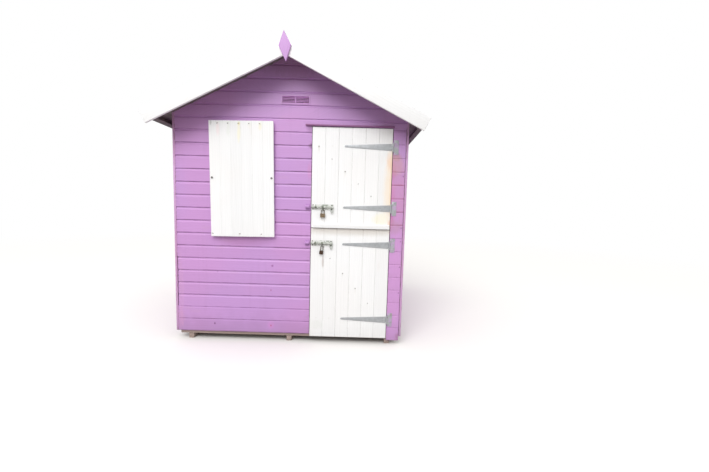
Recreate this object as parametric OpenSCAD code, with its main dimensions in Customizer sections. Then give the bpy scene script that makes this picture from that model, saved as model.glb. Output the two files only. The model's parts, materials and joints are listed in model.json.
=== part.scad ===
// Timber beach hut with a stable door and a shuttered window.
// Origin: middle of the hut's whole length and width, on the ground.
// The front faces -Y, +X is the viewer's right, +Z is up. Millimetres.

/* [Body] */
// Width over the side walls' cladding
body_w = 2014; // [1900:2:2600]
// Length over the end walls' cladding
body_d = 2440; // [1800:10:3600]
// Height of the side walls' outer top edge above the ground
eaves_h = 2021; // [2000:1:2300]
// Thickness of the shiplap cladding
cladding_t = 15; // [12:1:20]
// Height that each shiplap board covers
board_cover = 112.5; // [90:0.5:150]
// Depth of the hollow along a shiplap board's top edge
cove_d = 6.5; // [3:0.5:8]
// Radius of that hollow
cove_r = 32; // [12:1:40]
// Depth of the hollow where it is worn and painted up: low on the front, and beside the hinges
shallow_d = 2; // [1:0.5:6]
// Number of such shallow laps at the foot of the front wall
shallow_laps = 2; // [0:1:4]
// How far the cladding hangs below the tops of the joists
cladding_drop = 20; // [5:1:40]
// How much lower the strip of wall beside the hinges reaches
strip_drop = 40; // [0:1:60]
// Height that each board of that strip covers
strip_cover = 117; // [90:0.5:150]
// Thickness of the corner trims
trim_t = 18; // [12:1:25]
// Width of the corner trims along the side walls
trim_w = 45; // [30:1:70]
// How far the corner trims stand proud of the end walls
trim_proud = 3; // [0:1:6]

/* [Floor] */
// Width of a bearer
bearer_w = 45; // [38:1:75]
// Height of a bearer
bearer_h = 50; // [40:1:75]
// Distance from the middle bearer to each outer one
bearer_pitch = 900; // [700:10:940]
// How far the bearers stop short of the end walls' faces
bearer_inset = 20; // [16:1:60]
// Width of a floor joist
joist_w = 38; // [30:1:50]
// Height of a floor joist
joist_h = 50; // [40:1:75]
// Number of floor joists
joist_count = 6; // [4:1:9]
// Thickness of the floor boards
floor_t = 15; // [12:1:25]

/* [Wall frames] */
// Face width of the frame timber
stud_w = 38; // [30:1:50]
// Depth of the frame timber
stud_d = 45; // [38:1:60]
// Number of studs in each side wall
side_stud_count = 5; // [3:1:8]

/* [Roof] */
// Slope of the roof in degrees
roof_pitch = 26.4; // [20:0.1:32]
// Reach of the roof in front of the front wall
front_overhang = 250; // [120:5:400]
// Reach of the roof behind the back wall
back_overhang = 80; // [70:5:300]
// Reach of the bargeboards' lower corners beyond the side walls
eaves_reach = 101; // [80:1:160]
// Width of a bargeboard
barge_w = 112; // [90:1:140]
// Thickness of a bargeboard
barge_t = 20; // [15:1:25]
// Thickness of the roof boards
roof_board_t = 12; // [9:1:20]
// Thickness of the roofing felt
felt_t = 3; // [2:0.5:5]
// Depth of the felt turned down over the eaves
felt_lap = 56; // [30:1:70]
// Width of the ridge capping on each slope
cap_w = 150; // [80:5:250]
// Width and depth of a rafter
rafter_s = 38; // [30:1:50]
// Number of rafters between the end walls
rafter_count = 3; // [2:1:6]
// Depth of the ridge beam
ridge_beam_h = 75; // [60:5:120]

/* [Finials] */
// Height of the kite-shaped finial
finial_h = 234; // [160:2:300]
// Width of the finial
finial_w = 97; // [60:1:140]
// Height of the finial above its widest line
finial_top = 112; // [60:1:150]
// Thickness of the finial
finial_t = 20; // [12:1:30]
// Lean of the finial to the left in degrees
finial_lean = 4.4; // [-8:0.1:8]
// How far the finial's widest line lies below the ridge
finial_drop = 67; // [40:1:100]

/* [Doors] */
// Width of the two door leaves
door_w = 698; // [600:2:740]
// Distance from the leaves' hinged edge to the right side wall's face
door_margin = 119; // [112:1:200]
// Height of the lower leaf's bottom edge above the ground
door_z = 59; // [45:1:70]
// Distance of the door's top edge below the side walls' top edge
door_drop = 93; // [80:1:160]
// Height of the upper leaf's bottom edge above the lower leaf's
split_h = 997; // [800:1:1100]
// Gap round the leaves and between them
leaf_gap = 5; // [4:0.5:8]
// Thickness of the leaves' boards
leaf_t = 12; // [10:1:18]
// Number of boards across a leaf
leaf_board_count = 6; // [4:1:8]
// Width of the V-shaped joints between boards
joint_w = 6; // [3:0.5:8]
// Depth of the V-shaped joints between boards
joint_d = 2.5; // [1.5:0.5:4]
// How far the leaves stand proud of the cladding
leaf_proud = 2; // [0:0.5:4]
// How far the frame laps behind the leaves' edges
stop_lap = 14; // [8:1:20]
// Width of a ledge across the back of a leaf
ledge_w = 100; // [70:1:120]
// Thickness of the ledges and braces
ledge_t = 20; // [15:1:25]
// How far the ledges stop short of the frame
ledge_gap = 8; // [6:1:20]
// Width of a brace
brace_w = 90; // [60:1:110]
// Distance of the brace's top end from the leaf's free edge
brace_start = 110; // [90:1:180]
// Distance of the brace's foot from the leaf's hinged edge
brace_end = 102; // [90:1:180]
// Height of the weather bar
weather_h = 40; // [25:1:60]
// Thickness of the weather bar
weather_t = 18; // [10:1:22]
// Fall of the weather bar's sloping top
weather_fall = 8; // [0:1:15]
// How far the weather bar starts from the leaf's free edge
weather_start = 23; // [0:1:60]
// How far the weather bar stops short of the hinged edge
weather_end = 5; // [4:1:60]
// Distance of the drip strip above the doorway
drip_rise = 2; // [0:1:10]
// Height of the drip strip over the door
drip_h = 12; // [8:1:25]
// Thickness of the drip strip
drip_t = 18; // [10:1:30]
// Reach of the drip strip beyond the doorway's free side
drip_left = 54; // [10:1:100]
// Reach of the drip strip beyond the doorway's hinged side
drip_right = 4; // [0:1:60]

/* [Tee hinges] */
// Length of a strap from tip to root
strap_len = 402; // [250:1:450]
// Width of a strap at its root
strap_root = 60; // [50:1:75]
// Width of a strap at its tip
strap_tip = 18; // [12:1:30]
// Thickness of the hinge steel
steel_t = 3; // [2:0.5:4]
// Radius of a hinge pin
pin_r = 3; // [2:0.5:4]
// Clearance round a hinge pin, and round a bolt in its hole
pin_gap = 0.3; // [0.2:0.1:0.5]
// Height of a hinge plate on the wall
plate_h = 125; // [100:1:150]
// Width of a hinge plate on the wall
plate_w = 41; // [30:1:60]
// Height of the strap's knuckle
knuckle_h = 40; // [30:1:44]
// Height of each of the plate's two knuckles
plate_knuckle_h = 19.5; // [12:0.5:25]
// Distance of the upper hinge below the upper leaf's top
upper_hinge_drop = 158; // [100:1:200]
// Height of the second hinge above the upper leaf's bottom
upper_hinge_rise = 184; // [130:1:220]
// Distance of the third hinge below the lower leaf's top
lower_hinge_drop = 138; // [100:1:200]
// Height of the lowest hinge above the lower leaf's bottom
lower_hinge_rise = 173; // [120:1:220]

/* [Padbolts] */
// Height of the upper bolt above the upper leaf's bottom
upper_bolt_rise = 182; // [150:1:260]
// Distance of the lower bolt below the lower leaf's top
lower_bolt_drop = 133; // [60:1:250]
// Length of a bolt's back plate
bolt_plate_len = 186; // [160:1:220]
// Height of a bolt's back plate
bolt_plate_h = 48; // [44:1:60]
// How far the back plate starts from the leaf's free edge
bolt_inset = 6; // [2:1:20]
// Radius of a bolt's bar
bar_r = 8; // [6:0.5:9]
// Reach of the drawn bar beyond its back plate
bar_tip = 4; // [0:1:5]
// Gap between the bar and its back plate
bar_gap = 1; // [0.5:0.5:3]
// Running clearance of the bar in its guides
guide_gap = 0.5; // [0.3:0.1:1]
// Extra room of the bar in its keeper
keeper_gap = 1.5; // [0.5:0.5:2]
// How far the bar slides when it is shot
bolt_throw = 40; // [30:1:46]
// Distance of the first guide's middle from the back plate's end
first_guide = 34; // [12:1:40]
// Distance between the middles of the two guides
guide_pitch = 62; // [50:1:70]
// Width of a guide
guide_w = 16; // [10:1:20]
// How far the shot bar's end lies left of the keeper's middle
shot_reach = 6; // [2:1:10]
// Width of a keeper on the wall
keeper_w = 36; // [26:1:40]
// Height of each of a keeper's two ears
keeper_ear = 12; // [10:1:16]
// Distance of the drawn bolt's handle loop from the back plate's end
loop_start = 10; // [4:1:16]
// Width of the handle loop
loop_w = 22; // [18:1:26]
// Reach of the handle loop below the bar's centre
loop_h = 50; // [40:1:56]
// Thickness of the handle loop's metal
loop_t = 6; // [4:0.5:7]
// Thickness of the padlock staple
staple_t = 5; // [3:0.5:6]

/* [Padlocks] */
// Distance of the shackle's top below the bar's centre
shackle_top = 19.7; // [18.5:0.1:22]
// Room round the shackle in the staple's hole
shackle_room = 2.5; // [1:0.5:4]
// Width of the upper padlock's body
upper_lock_w = 42; // [36:1:46]
// Height of the upper padlock's body
upper_lock_h = 35; // [30:1:50]
// Radius of the upper shackle's bend at the rod's centre
upper_bend = 13; // [10:0.5:14]
// Length of the upper shackle's straight legs above the body
upper_leg = 20; // [12:1:30]
// Width of the lower padlock's body
lower_lock_w = 33; // [28:1:46]
// Height of the lower padlock's body
lower_lock_h = 32; // [30:1:50]
// Radius of the lower shackle's bend at the rod's centre
lower_bend = 10.5; // [10:0.5:14]
// Length of the lower shackle's straight legs above the body
lower_leg = 34; // [12:1:40]
// Lean of the lower padlock's body to the left in degrees
lower_lock_lean = 7; // [0:1:20]
// Thickness of a padlock's body
lock_t = 20; // [14:1:21]
// Radius of the corners of a padlock's body
lock_corner = 5; // [2:0.5:8]
// Radius of a shackle's rod
shackle_r = 3; // [2.5:0.25:3.5]

/* [Window and shutter] */
// Width of the window opening
window_w = 474; // [400:2:500]
// Distance from the window opening to the left side wall's face
window_margin = 357; // [330:1:420]
// Height of the window opening's sill above the ground
window_z = 1000; // [900:5:1200]
// Face width of the window frame
window_frame_w = 28; // [20:1:40]
// Depth of the window frame
window_frame_d = 32; // [20:1:38]
// How far the window frame is set back from the cladding's face
window_set = 5; // [0:1:6]
// Thickness of the glass
glass_t = 4; // [3:1:6]
// Lap of the glass over the back of the window frame
glass_lap = 12; // [6:1:18]
// Lap of the shutter over each side of the window opening
shutter_lap = 40.5; // [30:0.5:60]
// Tilt of the shutter in degrees, its right side up
shutter_tilt = 0.8; // [-1.5:0.1:1.5]
// Thickness of the shutter's boards
shutter_t = 15; // [12:1:20]
// Number of boards across the shutter
shutter_board_count = 6; // [4:1:8]
// Width of a batten behind the shutter
batten_w = 45; // [40:1:70]
// Thickness of a batten behind the shutter
batten_t = 20; // [15:1:30]
// How far the battens stop short of the shutter's edges
batten_inset = 4; // [0:1:15]
// Distance of the bolts from the shutter's side edges
shutter_bolt_inset = 19; // [14:1:25]
// Height of the bolts above the shutter's middle
shutter_bolt_rise = 14; // [-100:1:100]
// Radius of a shutter bolt's shank
shutter_bolt_r = 4; // [3:0.5:6]
// Radius of a shutter bolt's head
shutter_head_r = 9; // [7:0.5:12]
// Height of a shutter bolt's head
shutter_head_h = 5; // [3:0.5:8]

/* [Gable vent] */
// Width of the vent's flange
vent_w = 250; // [200:1:300]
// Height of the vent's flange
vent_h = 80; // [70:1:110]
// Distance of the vent's centre right of the hut's centre
vent_x = 41; // [-60:1:60]
// Distance of the vent's centre below the ridge
vent_drop = 393; // [300:1:420]
// Width of the vent's border round its louvres
vent_border = 11; // [8:1:20]
// Width of the bar between the vent's two halves
vent_bar = 7; // [4:1:16]
// Thickness of the vent's flange and sleeve
vent_t = 3; // [2:0.5:4]
// Thickness of a louvre
louvre_t = 1.5; // [1:0.1:2]
// Number of louvres in each half
louvre_count = 5; // [3:1:7]

/* [Hidden] */
$fn = 48;

// Colours
mauve = "#c9a0d2";
mauve_shade = "#7a5374";
white_paint = "#f4f2ee";
pink_paint = "#c889b4";
raw_pine = "#d8b98a";
weathered = "#84796c";
felt_green = "#4c5148";
galvanised = "#b2b4b6";
brass_brown = "#7d6950";
glass_tint = "#a9bcc0";

// How far a cutter reaches beyond what it cuts, and a piece into the one it is welded to
over = 1;
// Half of a joint left open where two like pieces meet
joint_half = 0.5;
// Hairline joint between pieces that meet on a slope
seat = 0.1;

// Lengthwise places
total_d = body_d + front_overhang + back_overhang + 2 * finial_t;
front_y = finial_t + front_overhang - total_d / 2;
back_y = front_y + body_d;
frame_y0 = front_y + cladding_t;
frame_y1 = frame_y0 + stud_d;
frame_y3 = back_y - cladding_t;
frame_y2 = frame_y3 - stud_d;
barge_y0 = front_y - front_overhang;
roof_y0 = barge_y0 + barge_t;
barge_y1 = back_y + back_overhang;
roof_y1 = barge_y1 - barge_t;

// Crosswise places
wall_x = body_w / 2;
frame_x = wall_x - cladding_t;
side_in_x = frame_x - stud_d;
door_x1 = wall_x - door_margin;
door_x0 = door_x1 - door_w;
way_x0 = door_x0 - leaf_gap;
way_x1 = door_x1 + leaf_gap;
jamb_x0 = door_x0 + stop_lap;
jamb_x1 = door_x1 - stop_lap;
window_x0 = window_margin - wall_x;
window_x1 = window_x0 + window_w;

// Heights
joist_z = bearer_h;
floor_z = joist_z + joist_h;
cladding_z = floor_z - cladding_drop;
strip_z = cladding_z - strip_drop;
sole_z = floor_z + floor_t;
stud_z = sole_z + stud_w;
door_top = eaves_h - door_drop;
gable_z = door_top + leaf_gap;
head_z = door_top - stop_lap;
split_z = door_z + split_h;

// Roof levels, measured square to the slope below its top surface
felt_d = felt_t;
board_d = felt_d + felt_t;
under_d = board_d + roof_board_t;
bearing_d = under_d + seat;
rafter_d = bearing_d + rafter_s;
ridge_h = eaves_h + wall_x * tan(roof_pitch) + under_d / cos(roof_pitch);
barge_s = (wall_x + eaves_reach + barge_w * sin(roof_pitch)) / cos(roof_pitch);
board_s = barge_s - 2 * felt_t;
batten_s1 = board_s - seat;
batten_s0 = batten_s1 - rafter_s;
plate_z = roof_z(frame_x, bearing_d) - stud_w;

// Shiplap
cove_steps = 4;
strip_laps = ceil((gable_z - strip_z) / strip_cover);

// Hinges and bolts
hinge_zs_upper = [door_top - upper_hinge_drop, split_z + upper_hinge_rise];
hinge_zs_lower = [split_z - leaf_gap - lower_hinge_drop, door_z + lower_hinge_rise];
bolt_z_upper = split_z + upper_bolt_rise;
bolt_z_lower = split_z - leaf_gap - lower_bolt_drop;
leaf_y = front_y - leaf_proud;
knuckle_gap = 0.5;
neck_len = 2.5;
knuckle_r = pin_r + steel_t;
hinge_x = door_x1 + leaf_gap / 2;
hinge_y = leaf_y - knuckle_r - knuckle_gap;
root_x = hinge_x - knuckle_r - neck_len;
bar_y = leaf_y - steel_t - bar_gap - bar_r;
bow_r = bar_r + guide_gap;
bow_t = steel_t;
bolt_plate_x0 = door_x0 + bolt_inset;
bolt_plate_x1 = bolt_plate_x0 + bolt_plate_len;
guide_x1 = bolt_plate_x0 + first_guide;
guide_x2 = guide_x1 + guide_pitch;
bar_x0 = bolt_plate_x0 - bar_tip;
loop_x = bolt_plate_x1 - loop_start;
keeper_x = bar_x0 - bolt_throw + shot_reach;
keeper_r = bar_r + guide_gap + keeper_gap;

// Play between a shackle and the staple that it hangs in
shackle_gap = 0.6;

// Shutter
shutter_w = window_w + 2 * shutter_lap;
shutter_h = head_z - window_z + 2 * shutter_lap;
shutter_x = (window_x0 + window_x1) / 2;
shutter_z = (window_z + head_z) / 2;
shutter_y = front_y - batten_t;
shutter_bolt_x = shutter_w / 2 - shutter_bolt_inset;
bolt_hole_r = shutter_bolt_r + pin_gap;

// Height of the plane d below the roof's top surface at the place x
function roof_z(x, d) = ridge_h - abs(x) * tan(roof_pitch) - d / cos(roof_pitch);

// Point s down the right-hand slope and d below its top surface, as [x, z]
function slope_point(s, d) = [
    s * cos(roof_pitch) - d * sin(roof_pitch),
    ridge_h - s * sin(roof_pitch) - d * cos(roof_pitch)
];

// Front edge of one shiplap row, from the start of its hollow to the lower edge of the next row at z
function shiplap_row(z, depth) =
    let (sweep = acos(1 - depth / cove_r))
    concat(
        [for (k = [cove_steps : -1 : 0])
            let (a = k * sweep / cove_steps)
            [depth - cove_r * (1 - cos(a)), z - cove_r * sin(a)]],
        [[0, z]]
    );

// Section through shiplap as [depth behind the face, height], from its foot to the ridge's height,
// with shallow hollows at its lowest laps
function shiplap_section(foot, cover, shallow = 0) =
    let (rows = ceil((ridge_h - foot) / cover))
    concat(
        [[0, foot]],
        [for (i = [1 : rows])
            for (p = shiplap_row(foot + i * cover, i <= shallow ? shallow_d : cove_d)) p],
        [[cladding_t, foot + rows * cover], [cladding_t, foot]]
    );

// Plan of n boards side by side, w wide and t thick in all, with V-shaped joints in the front face
function boards_plan(w, t, n) = concat(
    [[0, 0]],
    [for (k = [1 : n - 1])
        for (p = [[-joint_w / 2, 0], [0, joint_d], [joint_w / 2, 0]])
            [k * w / n + p[0], p[1]]],
    [[w, 0], [w, t], [0, t]]
);

// Evenly spaced starts of n pieces of width w between a and b, with a gap at each end
function between(a, b, n, w) = [for (i = [1 : n]) a + i * (b - a - n * w) / (n + 1) + (i - 1) * w];

// Box from one corner to the other
module block(x, y, z) {
    translate([x[0], y[0], z[0]]) cube([x[1] - x[0], y[1] - y[0], z[1] - z[0]]);
}

// Outline in X and Z, given thickness from y0 to y1
module upright(y0, y1) {
    translate([0, y1, 0]) rotate([90, 0, 0]) linear_extrude(y1 - y0) children();
}

// Outline in Y and Z, given length from x0 to x1
module along_x(x0, x1) {
    translate([x0, 0, 0]) rotate([90, 0, 90]) linear_extrude(x1 - x0) children();
}

// The children and their mirror image on the other side
module both_sides() {
    children();
    mirror([1, 0, 0]) children();
}

// Band of the right-hand slope from the depth d0 to d1, cut upright at x0 and square at s1
module slope_band(x0, s1, d0, d1) {
    polygon([[x0, roof_z(x0, d0)], slope_point(s1, d0), slope_point(s1, d1), [x0, roof_z(x0, d1)]]);
}

// Band of the right-hand slope, cut upright at both ends
module slope_piece(x0, x1, d0, d1) {
    polygon([[x0, roof_z(x0, d0)], [x1, roof_z(x1, d0)], [x1, roof_z(x1, d1)], [x0, roof_z(x0, d1)]]);
}

// Stud outline whose top follows the underside of the raking rails
module raked_stud(x0, x1, z0) {
    peak = (x0 < 0 && x1 > 0) ? [[0, roof_z(0, rafter_d)]] : [];
    polygon(concat([[x0, z0], [x1, z0], [x1, roof_z(x1, rafter_d)]], peak, [[x0, roof_z(x0, rafter_d)]]));
}

// Bar with round ends, upright, its ends at z0 and z1
module stadium(w, z0, z1) {
    translate([-w / 2, z0 + w / 2]) square([w, z1 - z0 - w]);
    translate([0, z0 + w / 2]) circle(w / 2);
    translate([0, z1 - w / 2]) circle(w / 2);
}

// Oblong with rounded corners, centred
module rounded_oblong(w, h, r) {
    square([w - 2 * r, h], center = true);
    square([w, h - 2 * r], center = true);
    for (x = [-1, 1], y = [-1, 1]) translate([x * (w / 2 - r), y * (h / 2 - r)]) circle(r);
}

module floor_bearers() color(weathered)
    for (x = [-bearer_pitch, 0, bearer_pitch])
        block([x - bearer_w / 2, x + bearer_w / 2], [front_y + bearer_inset, back_y - bearer_inset],
            [0, bearer_h]);

module floor_joists() color(weathered)
    for (i = [0 : joist_count - 1]) {
        y = frame_y0 + i * (frame_y3 - frame_y0 - joist_w) / (joist_count - 1);
        block([-frame_x, frame_x], [y, y + joist_w], [joist_z, floor_z]);
    }

module floor_boards() color(raw_pine)
    block([-frame_x, frame_x], [frame_y0, frame_y3], [floor_z, sole_z]);

// Shiplap boards of an end wall from x[0] to x[1], whose face is at face_y and whose back lies inward
module end_cladding(x, face_y, inward, foot, cover, shallow = 0) {
    along_x(x[0], x[1])
        polygon([for (p = shiplap_section(foot, cover, shallow)) [face_y + inward * p[0], p[1]]]);
}

// Cladding left of the door, with the window opening and the holes of the shutter's bolts
module front_wall_left() color(mauve)
    difference() {
        intersection() {
            block([-wall_x, way_x0], [front_y, frame_y0], [cladding_z, gable_z]);
            end_cladding([-wall_x, way_x0], front_y, 1, cladding_z, board_cover, shallow_laps);
        }
        block([window_x0, window_x1], [front_y - over, frame_y0 + over], [window_z, head_z]);
        shutter_bolt_row(bolt_hole_r, front_y - over, frame_y0 + over);
    }

module front_wall_right() color(mauve)
    intersection() {
        block([way_x1, wall_x], [front_y, frame_y0], [strip_z, gable_z]);
        end_cladding([way_x1, wall_x], front_y, 1, strip_z, strip_cover, strip_laps);
    }

// Gable triangle over the door and the window, with the vent's hole
module front_gable() color(mauve_shade)
    difference() {
        intersection() {
            upright(front_y, frame_y0) gable_outline(gable_z);
            end_cladding([-wall_x, wall_x], front_y, 1, cladding_z, board_cover);
        }
        vent_hole_w = vent_w - 2 * vent_border + 2 * vent_t;
        vent_hole_h = vent_h - 2 * vent_border + 2 * vent_t;
        translate([vent_x, front_y + cladding_t / 2, ridge_h - vent_drop])
            cube([vent_hole_w, cladding_t + 2 * over, vent_hole_h], center = true);
    }

module gable_outline(z0)
    polygon([[-wall_x, z0], [wall_x, z0], [wall_x, roof_z(wall_x, bearing_d)], [0, roof_z(0, bearing_d)],
        [-wall_x, roof_z(wall_x, bearing_d)]]);

// Side wall cladding, its top edge bevelled to the roof
module side_cladding() color(mauve)
    upright(frame_y0, frame_y3)
        intersection() {
            polygon([for (p = shiplap_section(cladding_z, board_cover)) [wall_x - p[0], p[1]]]);
            polygon([[frame_x, cladding_z], [wall_x, cladding_z], [wall_x, roof_z(wall_x, bearing_d)],
                [frame_x, roof_z(frame_x, bearing_d)]]);
        }

module left_wall() mirror([1, 0, 0]) side_cladding();

module right_wall() side_cladding();

module back_wall() color(mauve)
    intersection() {
        upright(frame_y3, back_y) gable_outline(cladding_z);
        end_cladding([-wall_x, wall_x], back_y, -1, cladding_z, board_cover);
    }

// Posts of the two end walls' frames
module gable_wall_studs() color(raw_pine) {
    half_x = frame_x / 2;
    front_feet = [window_x0 - stud_w, window_x1, jamb_x0 - stud_w, jamb_x1];
    back_feet = [-half_x - stud_w / 2, -stud_w / 2, half_x - stud_w / 2];
    upright(frame_y0, frame_y1) {
        for (x = front_feet) translate([x, stud_z]) square([stud_w, head_z - stud_z]);
        corner_and_gable_studs(half_x);
    }
    upright(frame_y2, frame_y3) {
        for (x = back_feet) translate([x, stud_z]) square([stud_w, head_z - stud_z]);
        corner_and_gable_studs(half_x);
    }
}

module corner_and_gable_studs(half_x)
    both_sides() {
        raked_stud(frame_x - stud_w, frame_x, stud_z);
        raked_stud(half_x - stud_w / 2, half_x + stud_w / 2, head_z + stud_w);
    }

// Sole plates, head rails, window sill and raking rails of the two end walls
module gable_wall_rails() color(raw_pine) {
    upright(frame_y0, frame_y1) {
        translate([-frame_x, sole_z]) square([frame_x + jamb_x0, stud_w]);
        translate([jamb_x1, sole_z]) square([frame_x - jamb_x1, stud_w]);
        translate([window_x0, window_z - stud_w]) square([window_w, stud_w]);
        head_and_raking_rails();
    }
    upright(frame_y2, frame_y3) {
        translate([-frame_x, sole_z]) square([2 * frame_x, stud_w]);
        head_and_raking_rails();
    }
}

module head_and_raking_rails() {
    translate([stud_w - frame_x, head_z]) square([2 * (frame_x - stud_w), stud_w]);
    both_sides() slope_piece(joint_half, frame_x, bearing_d, rafter_d);
}

module side_wall_studs() color(raw_pine)
    both_sides()
        for (y = between(frame_y1, frame_y2, side_stud_count, stud_w))
            block([side_in_x, frame_x], [y, y + stud_w], [stud_z, plate_z]);

module side_wall_plates() color(raw_pine)
    both_sides() {
        block([side_in_x, frame_x], [frame_y1, frame_y2], [sole_z, stud_z]);
        upright(frame_y1, frame_y2)
            polygon([[side_in_x, plate_z], [frame_x, plate_z], [frame_x, roof_z(frame_x, bearing_d)],
                [side_in_x, roof_z(side_in_x, bearing_d)]]);
    }

module roof_boards() color(mauve_shade)
    both_sides() upright(roof_y0, roof_y1) slope_band(joint_half, board_s - seat, board_d + seat, under_d);

// Felt on each slope, turned down over the eaves
module roof_felt() color(felt_green)
    both_sides() upright(roof_y0, roof_y1) {
        lap_d = felt_d + felt_lap;
        polygon([[joint_half, roof_z(joint_half, felt_d)], slope_point(board_s + felt_t, felt_d),
            slope_point(board_s + felt_t, lap_d), slope_point(board_s, lap_d),
            slope_point(board_s, board_d), [joint_half, roof_z(joint_half, board_d)]]);
    }

// Strip of felt folded over the ridge
module ridge_capping() color(felt_green)
    upright(roof_y0, roof_y1)
        both_sides() slope_band(0, cap_w, 0, felt_d - seat);

module ridge_beam() color(raw_pine)
    upright(frame_y1, frame_y2) {
        beam_x = rafter_s / 2;
        beam_z = roof_z(0, bearing_d) - ridge_beam_h;
        polygon([[-beam_x, beam_z], [beam_x, beam_z], [beam_x, roof_z(beam_x, bearing_d)],
            [0, roof_z(0, bearing_d)], [-beam_x, roof_z(beam_x, bearing_d)]]);
    }

// Rafters inside the hut, and those under the roof's two ends that carry the bargeboards
module roof_rafters() color(raw_pine)
    both_sides() {
        for (y = between(frame_y1, frame_y2, rafter_count, rafter_s))
            upright(y, y + rafter_s) slope_piece(rafter_s / 2, side_in_x, bearing_d, rafter_d);
        for (y = [roof_y0, roof_y1 - rafter_s])
            upright(y, y + rafter_s) slope_band(joint_half, batten_s0 - seat, bearing_d, rafter_d);
    }

module eaves_battens() color(mauve_shade)
    both_sides() upright(roof_y0, roof_y1)
        polygon([slope_point(batten_s0, bearing_d), slope_point(batten_s1, bearing_d),
            slope_point(batten_s1, rafter_d), slope_point(batten_s0, rafter_d)]);

module front_bargeboards() color(white_paint)
    both_sides() upright(barge_y0, roof_y0) slope_band(joint_half, barge_s, 0, barge_w);

module back_bargeboards() color(white_paint)
    both_sides() upright(roof_y1, barge_y1) slope_band(joint_half, barge_s, 0, barge_w);

// One kite-shaped finial at the front peak and one at the back
module finials() color(pink_paint)
    for (y = [barge_y0 - finial_t, barge_y1])
        upright(y, y + finial_t)
            translate([0, ridge_h - finial_drop]) rotate(finial_lean)
                polygon([[0, finial_top], [-finial_w / 2, 0], [0, finial_top - finial_h], [finial_w / 2, 0]]);

module corner_trims() color(mauve)
    both_sides()
        for (y = [front_y - trim_proud, back_y + trim_proud - trim_w])
            upright(y, y + trim_w)
                polygon([[wall_x, cladding_z], [wall_x + trim_t, cladding_z],
                    [wall_x + trim_t, roof_z(wall_x + trim_t, bearing_d)],
                    [wall_x, roof_z(wall_x, bearing_d)]]);

// Moulded vent: flange, sleeve through the cladding, mullion and tilted louvres in two halves
module gable_vent() color(mauve)
    translate([vent_x, front_y, ridge_h - vent_drop]) {
        clear_w = vent_w - 2 * vent_border;
        clear_h = vent_h - 2 * vent_border;
        half_w = (clear_w - vent_bar) / 2;
        pitch = clear_h / louvre_count;
        difference() {
            union() {
                translate([-vent_w / 2, -vent_t, -vent_h / 2]) cube([vent_w, vent_t, vent_h]);
                translate([-clear_w / 2 - vent_t, 0, -clear_h / 2 - vent_t])
                    cube([clear_w + 2 * vent_t, cladding_t, clear_h + 2 * vent_t]);
            }
            for (side = [-1, 1])
                translate([side * (half_w + vent_bar) / 2 - half_w / 2, -2 * vent_t, -clear_h / 2])
                    cube([half_w, cladding_t + 4 * vent_t, clear_h]);
        }
        for (i = [0 : louvre_count - 1])
            translate([0, pitch / 2, (i + 0.5) * pitch - clear_h / 2]) rotate([45, 0, 0])
                cube([clear_w + vent_t, pitch, louvre_t], center = true);
    }

module door_drip_strip() color(mauve)
    block([way_x0 - drip_left, way_x1 + drip_right], [front_y - drip_t, front_y],
        [gable_z + drip_rise, gable_z + drip_rise + drip_h]);

// Puts an upright outline in the shutter's tilted plane
module on_shutter(y0, y1) {
    upright(y0, y1) translate([shutter_x, shutter_z]) rotate(shutter_tilt) children();
}

module shutter_bolt_row(r, y0, y1) {
    on_shutter(y0, y1) for (x = [-1, 1]) translate([x * shutter_bolt_x, shutter_bolt_rise]) circle(r);
}

module shutter_boards() color(white_paint)
    difference() {
        translate([shutter_x, shutter_y - shutter_t, shutter_z])
            rotate([0, -shutter_tilt, 0])
                translate([-shutter_w / 2, 0, -shutter_h / 2])
                    linear_extrude(shutter_h) polygon(boards_plan(shutter_w, shutter_t, shutter_board_count));
        shutter_bolt_row(bolt_hole_r, shutter_y - shutter_t - over, shutter_y + over);
    }

// Battens across the back of the shutter at its top, middle and bottom
module shutter_battens() color(white_paint)
    difference() {
        on_shutter(shutter_y, front_y)
            for (z = [-1, 0, 1])
                translate([0, z * (shutter_h - batten_w - 2 * batten_inset) / 2])
                    square([shutter_w - 2 * batten_inset, batten_w], center = true);
        shutter_bolt_row(bolt_hole_r, shutter_y - over, front_y + over);
    }

// Two round-headed bolts through the shutter and the cladding
module shutter_bolts() color(weathered) {
    head_y = shutter_y - shutter_t;
    shutter_bolt_row(shutter_head_r, head_y - shutter_head_h, head_y);
    shutter_bolt_row(shutter_bolt_r, head_y, frame_y0);
}

module window_frame() color(white_paint)
    upright(front_y + window_set, front_y + window_set + window_frame_d)
        difference() {
            translate([window_x0, window_z]) square([window_w, head_z - window_z]);
            translate([window_x0 + window_frame_w, window_z + window_frame_w])
                square([window_w - 2 * window_frame_w, head_z - window_z - 2 * window_frame_w]);
        }

// Glass laid against the back of the window frame
module window_glass() color(glass_tint, 0.5) {
    y = front_y + window_set + window_frame_d;
    inset = window_frame_w - glass_lap;
    block([window_x0 + inset, window_x1 - inset], [y, y + glass_t], [window_z + inset, head_z - inset]);
}

// Upright knuckle round the hinge axis
module knuckle(z0, z1, r) {
    translate([hinge_x, hinge_y, z0]) cylinder(r = r, h = z1 - z0);
}

// Wall plate with two knuckles and the pin
module hinge_plate() {
    plate_x = hinge_x + knuckle_r + neck_len;
    knuckle_z = knuckle_h / 2 + knuckle_gap;
    block([plate_x, plate_x + plate_w], [front_y - steel_t, front_y], [-plate_h / 2, plate_h / 2]);
    for (z = [-knuckle_z - plate_knuckle_h, knuckle_z]) {
        knuckle(z, z + plate_knuckle_h, knuckle_r);
        block([hinge_x, plate_x + steel_t], [hinge_y, front_y - over], [z, z + plate_knuckle_h]);
    }
    knuckle(-knuckle_z - plate_knuckle_h, knuckle_z + plate_knuckle_h, pin_r);
}

module hinge_plates() color(galvanised)
    for (z = concat(hinge_zs_upper, hinge_zs_lower)) translate([0, 0, z]) hinge_plate();

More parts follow.
